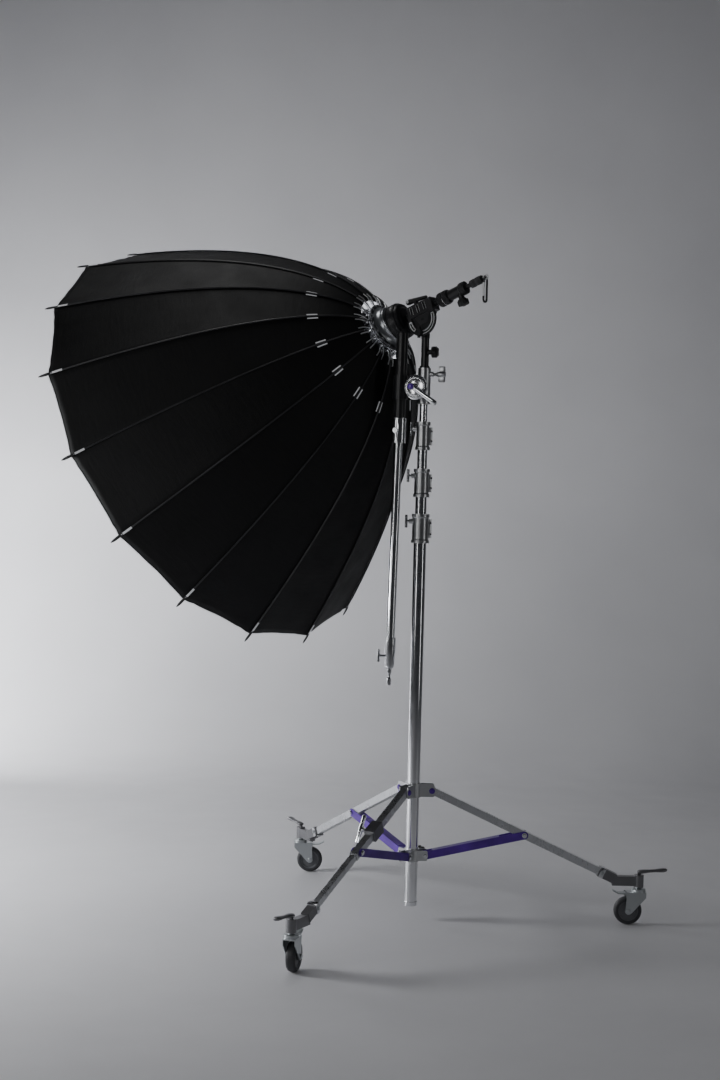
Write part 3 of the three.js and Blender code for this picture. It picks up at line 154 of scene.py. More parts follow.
class Nodes:
    """A short way to write a node tree around one Principled shader."""

    def __init__(self, name):
        self.material = bpy.data.materials.new(name)
        self.material.use_nodes = True
        self.tree = self.material.node_tree
        self.shader = self.tree.nodes["Principled BSDF"]
        self.place = self.add("ShaderNodeTexCoord").outputs["Object"]

    def add(self, kind, **inputs):
        node = self.tree.nodes.new(kind)
        for key, value in inputs.items():
            self.put(node.inputs[key.replace("_", " ")], value)
        return node

    def put(self, socket, value):
        if isinstance(value, bpy.types.NodeSocket):
            self.tree.links.new(value, socket)
        else:
            socket.default_value = value

    def set(self, **inputs):
        for key, value in inputs.items():
            self.put(self.shader.inputs[key.replace("_", " ")], value)

    def noise(self, scale, detail=3.0, roughness=0.5, place=None):
        source = place or self.place
        node = self.add("ShaderNodeTexNoise", Vector=source, Scale=scale, Detail=detail, Roughness=roughness)
        return node.outputs["Fac"]

    def stretched(self, x, y, z, place=None):
        node = self.add("ShaderNodeMapping", Vector=place or self.place)
        node.inputs["Scale"].default_value = (x, y, z)
        return node.outputs["Vector"]

    def ramp(self, source, low, high, start, end):
        node = self.add("ShaderNodeMapRange", Value=source)
        node.inputs["From Min"].default_value = start
        node.inputs["From Max"].default_value = end
        node.inputs["To Min"].default_value = low
        node.inputs["To Max"].default_value = high
        return node.outputs["Result"]

    def mix(self, factor, a, b):
        node = self.add("ShaderNodeMix")
        node.data_type = "RGBA"
        self.put(node.inputs["Factor"], factor)
        self.put(node.inputs["A"], a)
        self.put(node.inputs["B"], b)
        return node.outputs["Result"]

    def math(self, operation, a, b=0.5):
        node = self.tree.nodes.new("ShaderNodeMath")
        node.operation = operation
        self.put(node.inputs[0], a)
        self.put(node.inputs[1], b)
        return node.outputs[0]

    def bump(self, height, strength, distance):
        node = self.add("ShaderNodeBump", Height=height, Strength=strength, Distance=distance)
        self.set(Normal=node.outputs["Normal"])


def color(r, g, b):
    return (r, g, b, 1.0)


def plated(name, tint, rough, smudge=0.12, grain=0.0):
    """Plated or polished metal with smudges, fine scratches and, on castings, a skin like orange peel."""
    n = Nodes(name)
    cloud = n.noise(14, 4)
    streak = n.noise(30, 2, place=n.stretched(9, 9, 1))
    dull = n.math("MULTIPLY", cloud, streak)
    dark = color(*(value * 0.9 for value in tint))
    n.set(Base_Color=n.mix(n.ramp(cloud, 0, 1, 0.35, 0.7), dark, color(*tint)), Metallic=1.0)
    n.set(Roughness=n.ramp(dull, rough, rough + smudge, 0.1, 0.5))
    pits = n.noise(900, 2)
    peel = n.noise(170, 3)
    height = n.math("ADD", n.math("MULTIPLY", peel, grain), n.math("MULTIPLY", pits, 0.4 * grain))
    n.bump(height, 0.05 + 0.5 * grain, 0.0003)
    return n.material


def coated(name, tint, rough, coat=0.0, peel=0.3, worn=0.0, wear=(0.35, 0.35, 0.36)):
    """Paint, powder coat or anodising, with a fine peel and worn places."""
    n = Nodes(name)
    cloud = n.noise(9, 4)
    low = color(*(value * 0.75 for value in tint))
    high = color(*(min(value * 1.3, 1) for value in tint))
    base = n.mix(n.ramp(cloud, 0, 1, 0.35, 0.68), low, high)
    rub = n.ramp(n.noise(55, 6, 0.7), 0, 1, 0.62, 0.74)
    n.set(Base_Color=n.mix(n.math("MULTIPLY", rub, worn), base, color(*wear)), Coat_Weight=coat)
    n.set(Roughness=n.ramp(n.noise(22, 3), rough - 0.06, rough + 0.1, 0.3, 0.7))
    n.bump(n.noise(450, 2), peel, 0.0004)
    return n.material


def moulded(name, tint, rough):
    """Moulded plastic or rubber with a spark-eroded grain."""
    n = Nodes(name)
    n.set(Base_Color=n.mix(n.noise(18, 4), color(*tint), color(*(value * 1.6 for value in tint))))
    n.set(Roughness=n.ramp(n.noise(60, 3), rough - 0.08, rough + 0.08, 0.3, 0.7))
    n.bump(n.noise(1400, 2), 0.35, 0.0003)
    return n.material


def woven(name, warp, weft, rough, pitch, metallic=0.0, crinkle=0.2):
    """Cloth with its own thread directions, laid by a UV map in metres."""
    n = Nodes(name)
    n.place = n.add("ShaderNodeUVMap").outputs["UV"]
    threads = 2 * math.pi / pitch
    split = n.add("ShaderNodeSeparateXYZ", Vector=n.place)
    across = n.math("SINE", n.math("MULTIPLY", split.outputs["X"], threads))
    along = n.math("SINE", n.math("MULTIPLY", split.outputs["Y"], threads))
    weave = n.math("MULTIPLY", across, along)
    cloud = n.noise(5, 5)
    shade = n.math("ADD", n.math("MULTIPLY", weave, 0.25), cloud)
    n.set(Base_Color=n.mix(n.ramp(shade, 0, 1, 0.25, 0.8), color(*warp), color(*weft)), Metallic=metallic)
    n.set(Roughness=n.ramp(cloud, rough - 0.07, rough + 0.1, 0.3, 0.7))
    folds = n.noise(16, 4, 0.55, place=n.stretched(1, 3.5, 1))
    height = n.math("ADD", n.math("MULTIPLY", folds, crinkle * 10), n.math("MULTIPLY", weave, 0.08))
    n.bump(height, 0.55, 0.0009)
    return n.material


CHROME = plated("chrome_tube", (0.80, 0.81, 0.83), 0.10, 0.06)
BRIGHT = plated("bright_fitting", (0.74, 0.75, 0.77), 0.14, 0.08, 0.15)
SATIN = plated("satin_leg", (0.66, 0.67, 0.69), 0.26, 0.06, 0.05)
CAST = plated("plated_casting", (0.60, 0.61, 0.62), 0.28, 0.1, 0.5)
DARK_CAST = plated("dark_casting", (0.24, 0.24, 0.25), 0.33, 0.12, 0.5)
EDGE = plated("bare_edge", (0.88, 0.89, 0.90), 0.40, 0.1, 0.1)
ZINC = plated("zinc_plate", (0.56, 0.59, 0.60), 0.28, 0.2, 0.3)
ALUMINIUM = plated("machined_aluminium", (0.13, 0.132, 0.140), 0.48, 0.1, 0.1)
BOWL = plated("spun_bowl", (0.50, 0.52, 0.54), 0.27, 0.1, 0.05)
STEEL = plated("rib_steel", (0.68, 0.69, 0.71), 0.18, 0.14)
PURPLE = coated("purple_powder_coat", (0.092, 0.022, 0.330), 0.42, 0.1, 0.25, 0.15, (0.20, 0.13, 0.48))
GLOSSY_PURPLE = coated("purple_enamel", (0.105, 0.026, 0.400), 0.16, 0.8, 0.05, 0.0)
BLACK = coated("black_anodised", (0.012, 0.012, 0.014), 0.34, 0.1, 0.15, 0.5, (0.06, 0.06, 0.065))
BLOCK = coated("grey_anodised_block", (0.035, 0.034, 0.038), 0.36, 0.1, 0.15, 0.5, (0.12, 0.12, 0.125))
PLASTIC = moulded("black_plastic", (0.012, 0.012, 0.013), 0.42)
RUBBER = moulded("wheel_rubber", (0.030, 0.031, 0.034), 0.56)
CORE = moulded("wheel_core", (0.085, 0.088, 0.095), 0.45)
CANOPY_OUT = woven("canopy_satin", (0.0022, 0.0022, 0.0025), (0.0048, 0.0048, 0.0055), 0.56, 0.0009)
LINING = woven("silver_lining", (0.62, 0.63, 0.65), (0.82, 0.83, 0.84), 0.36, 0.0009, 0.75, 0.35)
SEAM = coated("seam_tape", (0.030, 0.030, 0.033), 0.40, 0.0, 0.4, 0.2, (0.12, 0.12, 0.125))
PIPING_PAINTED_GLOW = coated("hem_piping_painted_glow", (0.70, 0.70, 0.71), 0.5, 0.0, 0.4, 0.2, (0.5, 0.5, 0.51))



def tune(material, **inputs):
    for key, value in inputs.items():
        material.node_tree.nodes["Principled BSDF"].inputs[key.replace("_", " ")].default_value = value


tune(CANOPY_OUT, Specular_IOR_Level=0.3)
# The piping also gets a faint emission: a painted glow that brightens the tip strips, window tapes and hem edge,
# which are no lamp.
tune(PIPING_PAINTED_GLOW, Emission_Color=(0.80, 0.82, 0.86, 1), Emission_Strength=0.16)

# ------------------------------------------------------------------ mesh kit


def link(name, mesh, material, body, smooth=True):
    piece = bpy.data.objects.new(name, mesh)
    bpy.context.scene.collection.objects.link(piece)
    if material:
        mesh.materials.append(material)
    if smooth:
        mesh.shade_smooth()
    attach(piece, body)
    return piece


def finish_edges(bm, width, angle=math.radians(34), segments=2):
    """Welds a solid, clears the lines across its flat faces, and rounds its corners."""
    bmesh.ops.remove_doubles(bm, verts=bm.verts, dist=2e-5)
    bmesh.ops.dissolve_limit(bm, angle_limit=math.radians(1), verts=bm.verts, edges=bm.edges)
    corners = [e for e in bm.edges if len(e.link_faces) == 2 and e.calc_face_angle(0) > angle]
    if width and corners:
        bmesh.ops.bevel(
            bm, geom=corners, offset=width, segments=segments, profile=0.6, affect="EDGES", clamp_overlap=True
        )


BODY_OF = {node: body for body, nodes in frame["record"]["behaviour"]["bodies"].items() for node in nodes}


def weigh_normals(piece):
    modifier = piece.modifiers.new("faces", "WEIGHTED_NORMAL")
    modifier.keep_sharp = True


def refine(node, material, width=0.0008):
    """A finished copy of a CAD node stands for it: same shape, with smooth faces and rounded corners."""
    source = frame["nodes"][node]
    bm = bmesh.new()
    bm.from_mesh(source.data)
    bm.transform(source.matrix_world)
    finish_edges(bm, width)
    mesh = bpy.data.meshes.new(node + "_finished")
    bm.to_mesh(mesh)
    bm.free()
    piece = link(node + "_finished", mesh, material, BODY_OF[node])
    mesh.set_sharp_from_angle(angle=math.radians(50))
    weigh_normals(piece)
    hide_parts(node)
    return piece


def lathe(profile, place, sides=48):
    """A solid turned about its own Z. The profile lists (radius, z), from one end to the other."""
    bm = bmesh.new()
    rings = []
    for radius, z in profile:
        count = 1 if radius < 1e-6 else sides
        ring = []
        for i in range(count):
            angle = 2 * math.pi * i / sides
            ring.append(bm.verts.new((radius * math.cos(angle), radius * math.sin(angle), z)))
        rings.append(ring)
    for a, b in zip(rings, rings[1:]):
        for i in range(sides):
            corners = [a[i % len(a)], a[(i + 1) % len(a)], b[(i + 1) % len(b)], b[i % len(b)]]
            corners = list(dict.fromkeys(corners))
            if len(corners) > 2:
                bm.faces.new(corners)
    bmesh.ops.recalc_face_normals(bm, faces=bm.faces)
    bm.transform(place)
    return bm


def join(*parts):
    """Several bmeshes become one."""
    whole = bmesh.new()
    for part in parts:
        mesh = bpy.data.meshes.new("part")
        part.to_mesh(mesh)
        part.free()
        whole.from_mesh(mesh)
        bpy.data.meshes.remove(mesh)
    return whole


def solid(name, bm, material, body, replaced=(), sharp=38):
    mesh = bpy.data.meshes.new(name)
    bm.to_mesh(mesh)
    bm.free()
    piece = link(name, mesh, material, body)
    mesh.set_sharp_from_angle(angle=math.radians(sharp))
    if replaced:
        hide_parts(*replaced)
    return piece


def sweep(points, radius, sides=10, flat=1.0, closed=False, normal=None):
    """A round or flattened bar along a line of points. radius may be a function of the share run."""
    bm = bmesh.new()
    count = len(points)
    rings = []
    side = normal.copy() if normal else None
    for i, point in enumerate(points):
        before = points[(i - 1) % count] if closed or i else point
        after = points[(i + 1) % count] if closed or i + 1 < count else point
        along = (after - before).normalized()
        if side is None:
            side = along.orthogonal().normalized()
        side = (side - side.dot(along) * along).normalized()
        across = along.cross(side)
        size = radius(i / (count - 1)) if callable(radius) else radius
        ring = []
        for k in range(sides):
            angle = 2 * math.pi * k / sides
            offset = side * math.cos(angle) * flat + across * math.sin(angle)
            ring.append(bm.verts.new(point + size * offset))
        rings.append(ring)
    pairs = list(zip(rings, rings[1:])) + ([(rings[-1], rings[0])] if closed else [])
    for a, b in pairs:
        for k in range(sides):
            bm.faces.new((a[k], a[(k + 1) % sides], b[(k + 1) % sides], b[k]))
    if not closed:
        bm.faces.new(rings[0])
        bm.faces.new(rings[-1])
    bmesh.ops.recalc_face_normals(bm, faces=bm.faces)
    return bm


def reach_along(node, place, axis):
    """How far a CAD node runs along an axis, from a place: its two ends."""
    source = frame["nodes"][node]
    spans = [(source.matrix_world @ vertex.co - place).dot(axis) for vertex in source.data.vertices]
    return min(spans), max(spans)


def hex_bolt(place, radius=0.006, height=0.004, washer=1.35):
    """A hex head on a washer. It stands along its own Z."""
    head = [(0, 0), (radius, 0), (radius, height * 0.8), (radius * 0.86, height), (0, height)]
    ring = [(0, -0.0004), (radius * washer, -0.0004), (radius * washer, 0.0006), (0, 0.0006)]
    return join(lathe(head, place, 6), lathe(ring, place, 20))


def socket_screw(place, radius=0.004, height=0.003):
    """A socket screw: a short round head with a hollow in the middle."""
    well = radius * 0.5
    profile = [(0, height * 0.3), (well, height * 0.3), (well, height), (radius * 0.9, height)]
    return lathe(profile + [(radius, height * 0.85), (radius, -0.0006), (0, -0.0006)], place, 20)


def rounded_box(place, x, y, z, round_by=0.001):
    """A block of the given full sizes, centred on a frame, with rounded edges."""
    bm = bmesh.new()
    bmesh.ops.create_cube(bm, size=1)
    bmesh.ops.scale(bm, vec=(x, y, z), verts=bm.verts)
    bmesh.ops.bevel(bm, geom=bm.edges[:], offset=round_by, segments=2, profile=0.6, affect="EDGES")
    bm.transform(place)
    return bm


def fluted(place, radius, depth, low, high, teeth, inner=0.0):
    """A band with flutes along its Z, for grips and knurled collars."""
    steps = teeth * 6
    ease = (high - low) * 0.08
    rings = []
    bm = bmesh.new()
    for share, z in ((0.94, low), (1.0, low + ease), (1.0, high - ease), (0.94, high)):
        ring = []
        for i in range(steps):
            angle = 2 * math.pi * i / steps
            size = radius * share - depth * (0.5 - 0.5 * math.cos(teeth * angle)) ** 2
            ring.append(bm.verts.new((size * math.cos(angle), size * math.sin(angle), z)))
        rings.append(ring)
    for z in (high, low):
        angles = [2 * math.pi * i / steps for i in range(steps)]
        rings.append([bm.verts.new((inner * math.cos(a), inner * math.sin(a), z)) for a in angles])
    for a, b in zip(rings, rings[1:] + rings[:1]):
        for i in range(steps):
            bm.faces.new((a[i], a[(i + 1) % steps], b[(i + 1) % steps], b[i]))
    bmesh.ops.remove_doubles(bm, verts=bm.verts, dist=1e-6)
    bmesh.ops.recalc_face_normals(bm, faces=bm.faces)
    bm.transform(place)
    return bm


def ring_band(place, inner, outer, low, high, sides=48):
    profile = [(inner, low), (outer, low), (outer, high), (inner, high), (inner, low)]
    return lathe(profile, place, sides)


def facing(origin, axis):
    """A frame whose Z is along an axis."""
    z = Vector(axis).normalized()
    x = z.orthogonal().normalized()
    return basis(origin, x, z.cross(x), z)


# ------------------------------------------------------------------ canopy

GORE_COLUMNS = 14
CANOPY_ROWS = 66
SCALLOP = 0.004  # how far the hem recedes between two ribs
SAG = 0.006  # the cloth is pulled in between ribs by this share of the gore's width
CLOTH_THICK = 0.0012


def gore_radius(s, share):
    """Radius of the cloth at a share of the way from one rib to the next: a chord, pulled in a little."""
    half = math.pi / RIBS
    radius = profile_radius(s)
    chord = radius * math.cos(half) / math.cos((share - 0.5) * 2 * half)
    width = 2 * radius * math.sin(half)
    return chord - SAG * width * 4 * share * (1 - share) * min(1, max(0, (s - CLOTH_START) / 0.12))


def pucker(gore, share, to_hem):
    """Small gathers of the cloth at the hem, and pulls that run in from the rib tips."""
    edge = min(share, 1 - share)
    near_tip = math.exp(-((edge / 0.16) ** 2)) * math.exp(-to_hem / 0.09)
    wave = math.sin(edge * 52 + 1.7 * gore) * 0.0032 * near_tip
    seed = noise.noise(Vector((gore * 3.1, share * 4.2, to_hem * 9)))
    return wave + 0.0035 * seed * math.exp(-to_hem / 0.16) * 4 * share * (1 - share)


def make_canopy():
    bm = bmesh.new()
    layer = bm.loops.layers.uv.new("UVMap")
    rows = []
    for row in range(CANOPY_ROWS + 1):
        run = (row / CANOPY_ROWS) ** 1.5
        ring = []
        for column in range(RIBS * GORE_COLUMNS):
            gore, step = divmod(column, GORE_COLUMNS)
            share = step / GORE_COLUMNS
            hem = HEM_AT - SCALLOP * (4 * share * (1 - share)) ** 0.8
            s = CLOTH_START + (hem - CLOTH_START) * run
            angle = rib_angle(gore + share)
            radius = gore_radius(s, share)
            if share:
                radius += pucker(gore, share, hem - s)
            ring.append(bm.verts.new(crown_point(s, radius, angle)))
        rows.append(ring)
    total = RIBS * GORE_COLUMNS
    for row in range(CANOPY_ROWS):
        for column in range(total):
            after = (column + 1) % total
            here, below = rows[row], rows[row + 1]
            face = bm.faces.new((here[column], below[column], below[after], here[after]))
            step = column % GORE_COLUMNS
            steps = (step, step, step + 1, step + 1)
            levels = (row, row + 1, row + 1, row)
            for loop, step, level in zip(face.loops, steps, levels):
                run = (level / CANOPY_ROWS) ** 1.5
                s = CLOTH_START + (HEM_AT - CLOTH_START) * run
                width = 2 * profile_radius(s) * math.sin(math.pi / RIBS)
                loop[layer].uv = (width * (step / GORE_COLUMNS - 0.5), s * 1.35)
    bmesh.ops.recalc_face_normals(bm, faces=bm.faces)
    middle = CROWN @ Vector((-0.3, 0, 0))
    probe = bm.faces[:][total * 30]
    if (probe.calc_center_median() - middle).dot(probe.normal) < 0:
        bmesh.ops.reverse_faces(bm, faces=bm.faces)
    area = sum(face.calc_area() for face in bm.faces)
    mesh = bpy.data.meshes.new("canopy_cloth")
    bm.to_mesh(mesh)
    bm.free()
    canopy = link("canopy_cloth", mesh, CANOPY_OUT, "softbox")
    mesh.materials.append(LINING)
    thick = canopy.modifiers.new("two layers", "SOLIDIFY")
    thick.thickness = CLOTH_THICK
    thick.offset = -1
    thick.material_offset = 1
    thick.material_offset_rim = 1
    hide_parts("canopy")
    return canopy, area


SLEEVE_START = -0.012
ROD_RADIUS = 0.0024
STRIP_FROM = 0.066  # a pale strip beside each tip, made bright by a painted glow, runs between these distances from the tip
STRIP_TO = 0.032
POCKET_START = 0.026  # rib tip to the inner end of the tip pocket


def rib_outwards(angle):
    return (crown_point(0, 1, angle) - crown_point(0, 0, angle)).normalized()


def rib_strip(angle, start, end, off, radius, flat):
    points = [rib_point(start + (end - start) * i / 6, angle, off) for i in range(7)]
    return sweep(points, radius, 10, flat, normal=rib_outwards(angle))


def make_ribs():
    """Sprung steel rods on the hinge wire. Cloth sleeves cover most of their length."""
    rods = []
    sleeves = []
    strips = []
    pockets = []
    for index in range(RIBS):
        angle = rib_angle(index)
        out = rib_outwards(angle)
        stations = [CLOTH_START + (DEPTH - CLOTH_START) * (i / 40) ** 1.6 for i in range(41)]
        points = [crown_point(-0.022, 0.086, angle)] + [rib_point(s, angle, 0.0034) for s in stations]
        rods.append(sweep(points, ROD_RADIUS, 8, normal=out))
        covered = [SLEEVE_START + (DEPTH - 0.03 - SLEEVE_START) * (i / 50) ** 1.3 for i in range(51)]
        sleeves.append(sweep([rib_point(s, angle, 0.0032) for s in covered], 0.0031, 8, normal=out))
        strips.append(rib_strip(angle, DEPTH - STRIP_FROM, DEPTH - STRIP_TO, 0.0055, 0.0040, 0.35))
        tip = rib_point(DEPTH, angle, 0.004)
        along = (tip - rib_point(DEPTH - 0.01, angle, 0.004)).normalized()
        inner = rib_point(DEPTH - POCKET_START, angle, 0.004)
        run = [inner, tip - along * 0.012, tip + along * 0.006, tip + along * 0.018]
        size = (0.0046, 0.0056, 0.0050, 0.0016)
        pockets.append(sweep(run, lambda t, size=size: size[round(t * 3)], 12, 0.7, normal=out))
    wire = [crown_point(-0.022, 0.086, 2 * math.pi * i / 64) for i in range(64)]
    rods.append(sweep(wire, 0.0025, 8, closed=True))
    solid("rib_rods", join(*rods), STEEL, "softbox", ("rib_cage",))
    solid("rib_sleeves", join(*sleeves), SEAM, "softbox")
    solid("tip_strips", join(*strips), PIPING_PAINTED_GLOW, "softbox")
    solid("tip_pockets", join(*pockets), PLASTIC, "softbox")


def make_prongs():
    """Thin sprung wires stand beside each rib, from the crown to the cloth's inner hem."""
    wires = []
    for index in range(RIBS):
        for side in (-1, 1):
            angle = rib_angle(index) + side * 0.075
            points = [crown_point(-0.018, 0.096, angle), crown_point(-0.019, 0.108, angle)]
            points += [rib_point(-0.012, angle, 0.0055), rib_point(-0.004, angle, 0.0050)]
            wires.append(sweep(points, 0.0021, 8))
    solid("crown_prongs", join(*wires), EDGE, "softbox")


WINDOW_AT = 0.078
WINDOW_HALF = 0.012


def make_windows():
    """A pair of short pale tapes beside each rib, near the crown, made bright by a painted glow."""
    tapes = []
    for index in range(RIBS):
        for side in (-1, 1):
            angle = rib_angle(index) + side * 0.0075 / profile_radius(WINDOW_AT)
            start = WINDOW_AT - WINDOW_HALF
            tapes.append(rib_strip(angle, start, WINDOW_AT + WINDOW_HALF, 0.0010, 0.0024, 0.5))
    solid("window_tapes", join(*tapes), PIPING_PAINTED_GLOW, "softbox")


def make_hem():
    """The lining shows as a thin pale edge round the mouth, brightened by a painted glow."""
    points = []
    for column in range(RIBS * GORE_COLUMNS):
        gore, step = divmod(column, GORE_COLUMNS)
        share = step / GORE_COLUMNS
        s = HEM_AT + 0.0008 - SCALLOP * (4 * share * (1 - share)) ** 0.8
        radius = gore_radius(s, share) + (pucker(gore, share, 0) if share else 0)
        points.append(crown_point(s, radius - CLOTH_THICK / 2, rib_angle(gore + share)))
    solid("hem_edge", sweep(points, 0.0013, 8, closed=True), PIPING_PAINTED_GLOW, "softbox")


# ------------------------------------------------------------------ hard pieces from the CAD


def make_plain_pieces():
    """Give the pieces that keep their CAD shape a material and an edge radius."""
    table = (
        (CHROME, 0.0005, "base_tube riser_1 riser_2 riser_3 boom_inner_tube"),
        (SATIN, 0.0016, "right_leg rear_leg front_leg front_leg_slide"),
        (CAST, 0.0012, "base_clamp riser_1_clamp riser_2_clamp boom_head leg_hub brace_collar"),
        (BRIGHT, 0.001, "boom_tube_clamp boom_end_fitting"),
        (BLACK, 0.001, "boom_clutch boom_grip_tube bracket_post tilt_knob rod_sleeve"),
        (BLACK, 0.001, "dome_and_carrier focus_rod"),
        (PLASTIC, 0.0015, "collar_knob sleeve_knob post_knob"),
        (BLOCK, 0.001, "tilt_block"),
        (DARK_CAST, 0.0012, "leveller_clamp"),
        (ALUMINIUM, 0.0008, "lamp_mount"),
        (BLACK, 0.0015, "snap_hook"),
        (BRIGHT, 0.0012, "base_clamp_handle riser_1_clamp_handle riser_2_clamp_handle boom_end_knob"),
    )
    for material, radius, nodes in table:
        for node in nodes.split():
            refine(node, material, radius)
    for side in SIDES:
        refine(side + "_brace", PURPLE, 0.001)
        refine(side + "_foot_socket", DARK_CAST, 0.0025)
        refine(side + "_caster_fork", ZINC, 0.0008)
        refine(side + "_brake_pedal", ZINC, 0.0008)


def make_leveller_handle():
    """A stout T-handle: a stepped shaft and a bar with rounded ends and a waist."""
    seat = joint_place("leveller_handle_turn")
    axis = joint_axis("leveller_handle_turn")
    shaft = [(0, 0), (0.0050, 0), (0.0050, 0.026), (0.0070, 0.0275), (0.0070, 0.038), (0, 0.038)]
    middle = seat + axis * 0.038
    outwards = joint_axis("front_leg_fold").cross(UP)
    bar_axis = (UP * 0.86 - outwards * 0.51).normalized()
    bar_axis = (bar_axis - bar_axis.dot(axis) * axis).normalized()
    bar = [(0, -0.052), (0.0062, -0.0515), (0.0080, -0.047), (0.0066, -0.022), (0.0086, -0.008)]
    bar += [(radius, -z) for radius, z in reversed(bar)]
    parts = join(lathe(shaft, facing(seat, axis), 24), lathe(bar, facing(middle, bar_axis), 28))
    node = "leveller_handle"
    solid(node + "_made", parts, BRIGHT, BODY_OF[node], (node,))


# ------------------------------------------------------------------ wheels

WHEEL_RADIUS = 0.050
TREAD_HALF = 0.0155


def make_wheels():
    for side in SIDES:
        axis = joint_axis(side + "_wheel_roll")
        place = facing(joint_place(side + "_wheel_roll"), axis)
        half = TREAD_HALF
        tread = [(0.036, -half + 0.001), (0.043, -half - 0.0003), (0.0475, -half + 0.003)]
        tread += [(0.0495, -half + 0.008), (WHEEL_RADIUS, -0.004), (WHEEL_RADIUS, 0.004)]
        tread += [(radius, -z) for radius, z in reversed(tread[:4])]
        tread += [(0.0352, half - 0.003), (0.0352, -half + 0.003), tread[0]]
        node = side + "_wheel"
        body = BODY_OF[node]
        solid(side + "_tyre", lathe(tread, place, 72), RUBBER, body, (node,), 50)
        core = [(0.0055, -0.0178), (0.012, -0.0178), (0.0135, -0.0120), (0.018, -0.0105), (0.030, -0.0105)]
        core += [(0.0325, -0.0135), (0.0362, -0.0140), (0.0362, 0.0140), (0.0325, 0.0135)]
        core += [(0.030, 0.0105), (0.018, 0.0105), (0.0135, 0.0120), (0.012, 0.0178), (0.0055, 0.0178)]
        core += [(0.0055, -0.0178)]
        solid(node + "_core", lathe(core, place, 60), CORE, body, (), 30)


# ------------------------------------------------------------------ bolts, bands and trims

LEG_DROP = math.radians(24.5)
BRACE_ALONG = 0.367  # hub pivot to brace pivot, along the leg
HUB_CHEEK = 0.0185  # leg axis to the outside of a hub lug
COLLAR_CHEEK = 0.0210
BRACE_CHEEK = 0.0198
FORK_CHEEK = 0.0216


def bolt_pair(name, middle, axis, reach, material, body, radius=0.0068, height=0.0042):
    """A hex bolt and its nut, on both outsides of a joint."""
    ends = [hex_bolt(facing(middle + side * reach * axis, side * axis), radius, height) for side in (-1, 1)]
    solid(name, join(*ends), material, body)


def leg_line(side):
    """A leg's fold axis, its hub pivot and its direction from the hub."""
    axis = joint_axis(side + "_leg_fold")
    along = axis.cross(UP) * math.cos(LEG_DROP) - UP * math.sin(LEG_DROP)
    return axis, joint_place(side + "_leg_fold"), along


def make_leg_bolts():
    for side in SIDES:
        axis, hub, along = leg_line(side)
        pivot = hub + BRACE_ALONG * along
        collar = joint_place(side + "_brace_fold")
        brace = BODY_OF[side + "_brace"]
        bolt_pair(side + "_hub_bolts", hub, axis, HUB_CHEEK, PURPLE, "hub", 0.0078, 0.005)
        bolt_pair(side + "_collar_bolts", collar, axis, COLLAR_CHEEK, BRIGHT, "base")
        bolt_pair(side + "_brace_bolts", pivot, axis, BRACE_CHEEK, BRIGHT, brace)


def make_foot_brackets():
    """A bright bracket with a bolt through it closes each foot socket on its leg."""
    for side in SIDES:
        axis, hub, along = leg_line(side)
        start = reach_along(side + "_foot_socket", hub, along)[0]
        middle = hub + along * (start + 0.013)
        bracket = rounded_box(basis(middle, along, axis, along.cross(axis)), 0.018, 0.0355, 0.0375, 0.0022)
        body = BODY_OF[side + "_foot_socket"]
        solid(side + "_foot_bracket", bracket, BRIGHT, body)
        bolt_pair(side + "_foot_bolts", middle, axis, 0.0178, ZINC, body, 0.0056, 0.0036)


def make_foot_levers():
    """A cast lever over each stem, narrow in the middle, with a rounded paddle at its end."""
    for side in SIDES:
        node = side + "_foot_lever"
        stem = joint_place(side + "_caster_swivel")
        out = joint_axis(side + "_leg_fold").cross(UP).normalized()
        across = UP.cross(out)
        low, high = reach_along(node, stem, out)
        sideways = sum(reach_along(node, stem, across)) / 2
        floor, top = reach_along(node, Vector((0, 0, 0)), UP)
        root = Vector((stem.x, stem.y, 0)) + across * sideways
        shares = (0.0, 0.03, 0.12, 0.25, 0.42, 0.60, 0.76, 0.88, 0.96, 1.0)
        radii = (0.0060, 0.0100, 0.0125, 0.0118, 0.0092, 0.0094, 0.0122, 0.0128, 0.0100, 0.0040)
        rise = (floor + 0.0072, top - 0.0068)
        run, climb = high - low, rise[1] - rise[0]
        line = [root + out * (low + run * t) + UP * (rise[0] + climb * t) for t in shares]
        bar = sweep(line, lambda t: radii[round(t * 9)], 24, 0.56, normal=UP)
        solid(node + "_made", bar, DARK_CAST, BODY_OF[node], (node,), 60)


def make_caster_parts():
    """Axle nuts, a ball race under each stem and ribs on the brake pedals."""
    for side in SIDES:
        fork = BODY_OF[side + "_caster_fork"]
        wheel = joint_place(side + "_wheel_roll")
        axis = joint_axis(side + "_wheel_roll")
        bolt_pair(side + "_axle_nuts", wheel, axis, FORK_CHEEK, ZINC, fork, 0.0085, 0.0055)
        stem = joint_place(side + "_caster_swivel")
        race = basis(Vector((stem.x, stem.y, 0)), Vector((1, 0, 0)), Vector((0, 1, 0)), UP)
        bands = [ring_band(race, 0.010, 0.0262, 0.1175, 0.1205)]
        bands.append(ring_band(race, 0.010, 0.0252, 0.1225, 0.1265))
        bands.append(lathe([(0, 0.1285), (0.0105, 0.1285), (0.0105, 0.1335), (0, 0.1335)], race, 6))
        solid(side + "_ball_race", join(*bands), ZINC, fork)
        low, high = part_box(side + "_brake_pedal")
        hinge = joint_place(side + "_brake_press")
        middle = Vector(((low.x + high.x) / 2, (low.y + high.y) / 2, 0))
        out = (middle - Vector((hinge.x, hinge.y, 0))).normalized()
        slope = (out * 0.018 + UP * 0.010).normalized()
        across = slope.cross(UP).normalized()
        ribs = []
        for step in range(4):
            centre = hinge + out * (0.030 + 0.0045 * step) + UP * (0.0052 + 0.0025 * step)
            place = basis(centre, slope, across, slope.cross(across))
            ribs.append(rounded_box(place, 0.0016, 0.021, 0.0016, 0.0004))
        solid(side + "_pedal_ribs", join(*ribs), ZINC, BODY_OF[side + "_brake_pedal"])


CLAMP_BANDS = (("base_clamp", 0.0289), ("riser_1_clamp", 0.0259), ("riser_2_clamp", 0.0234))


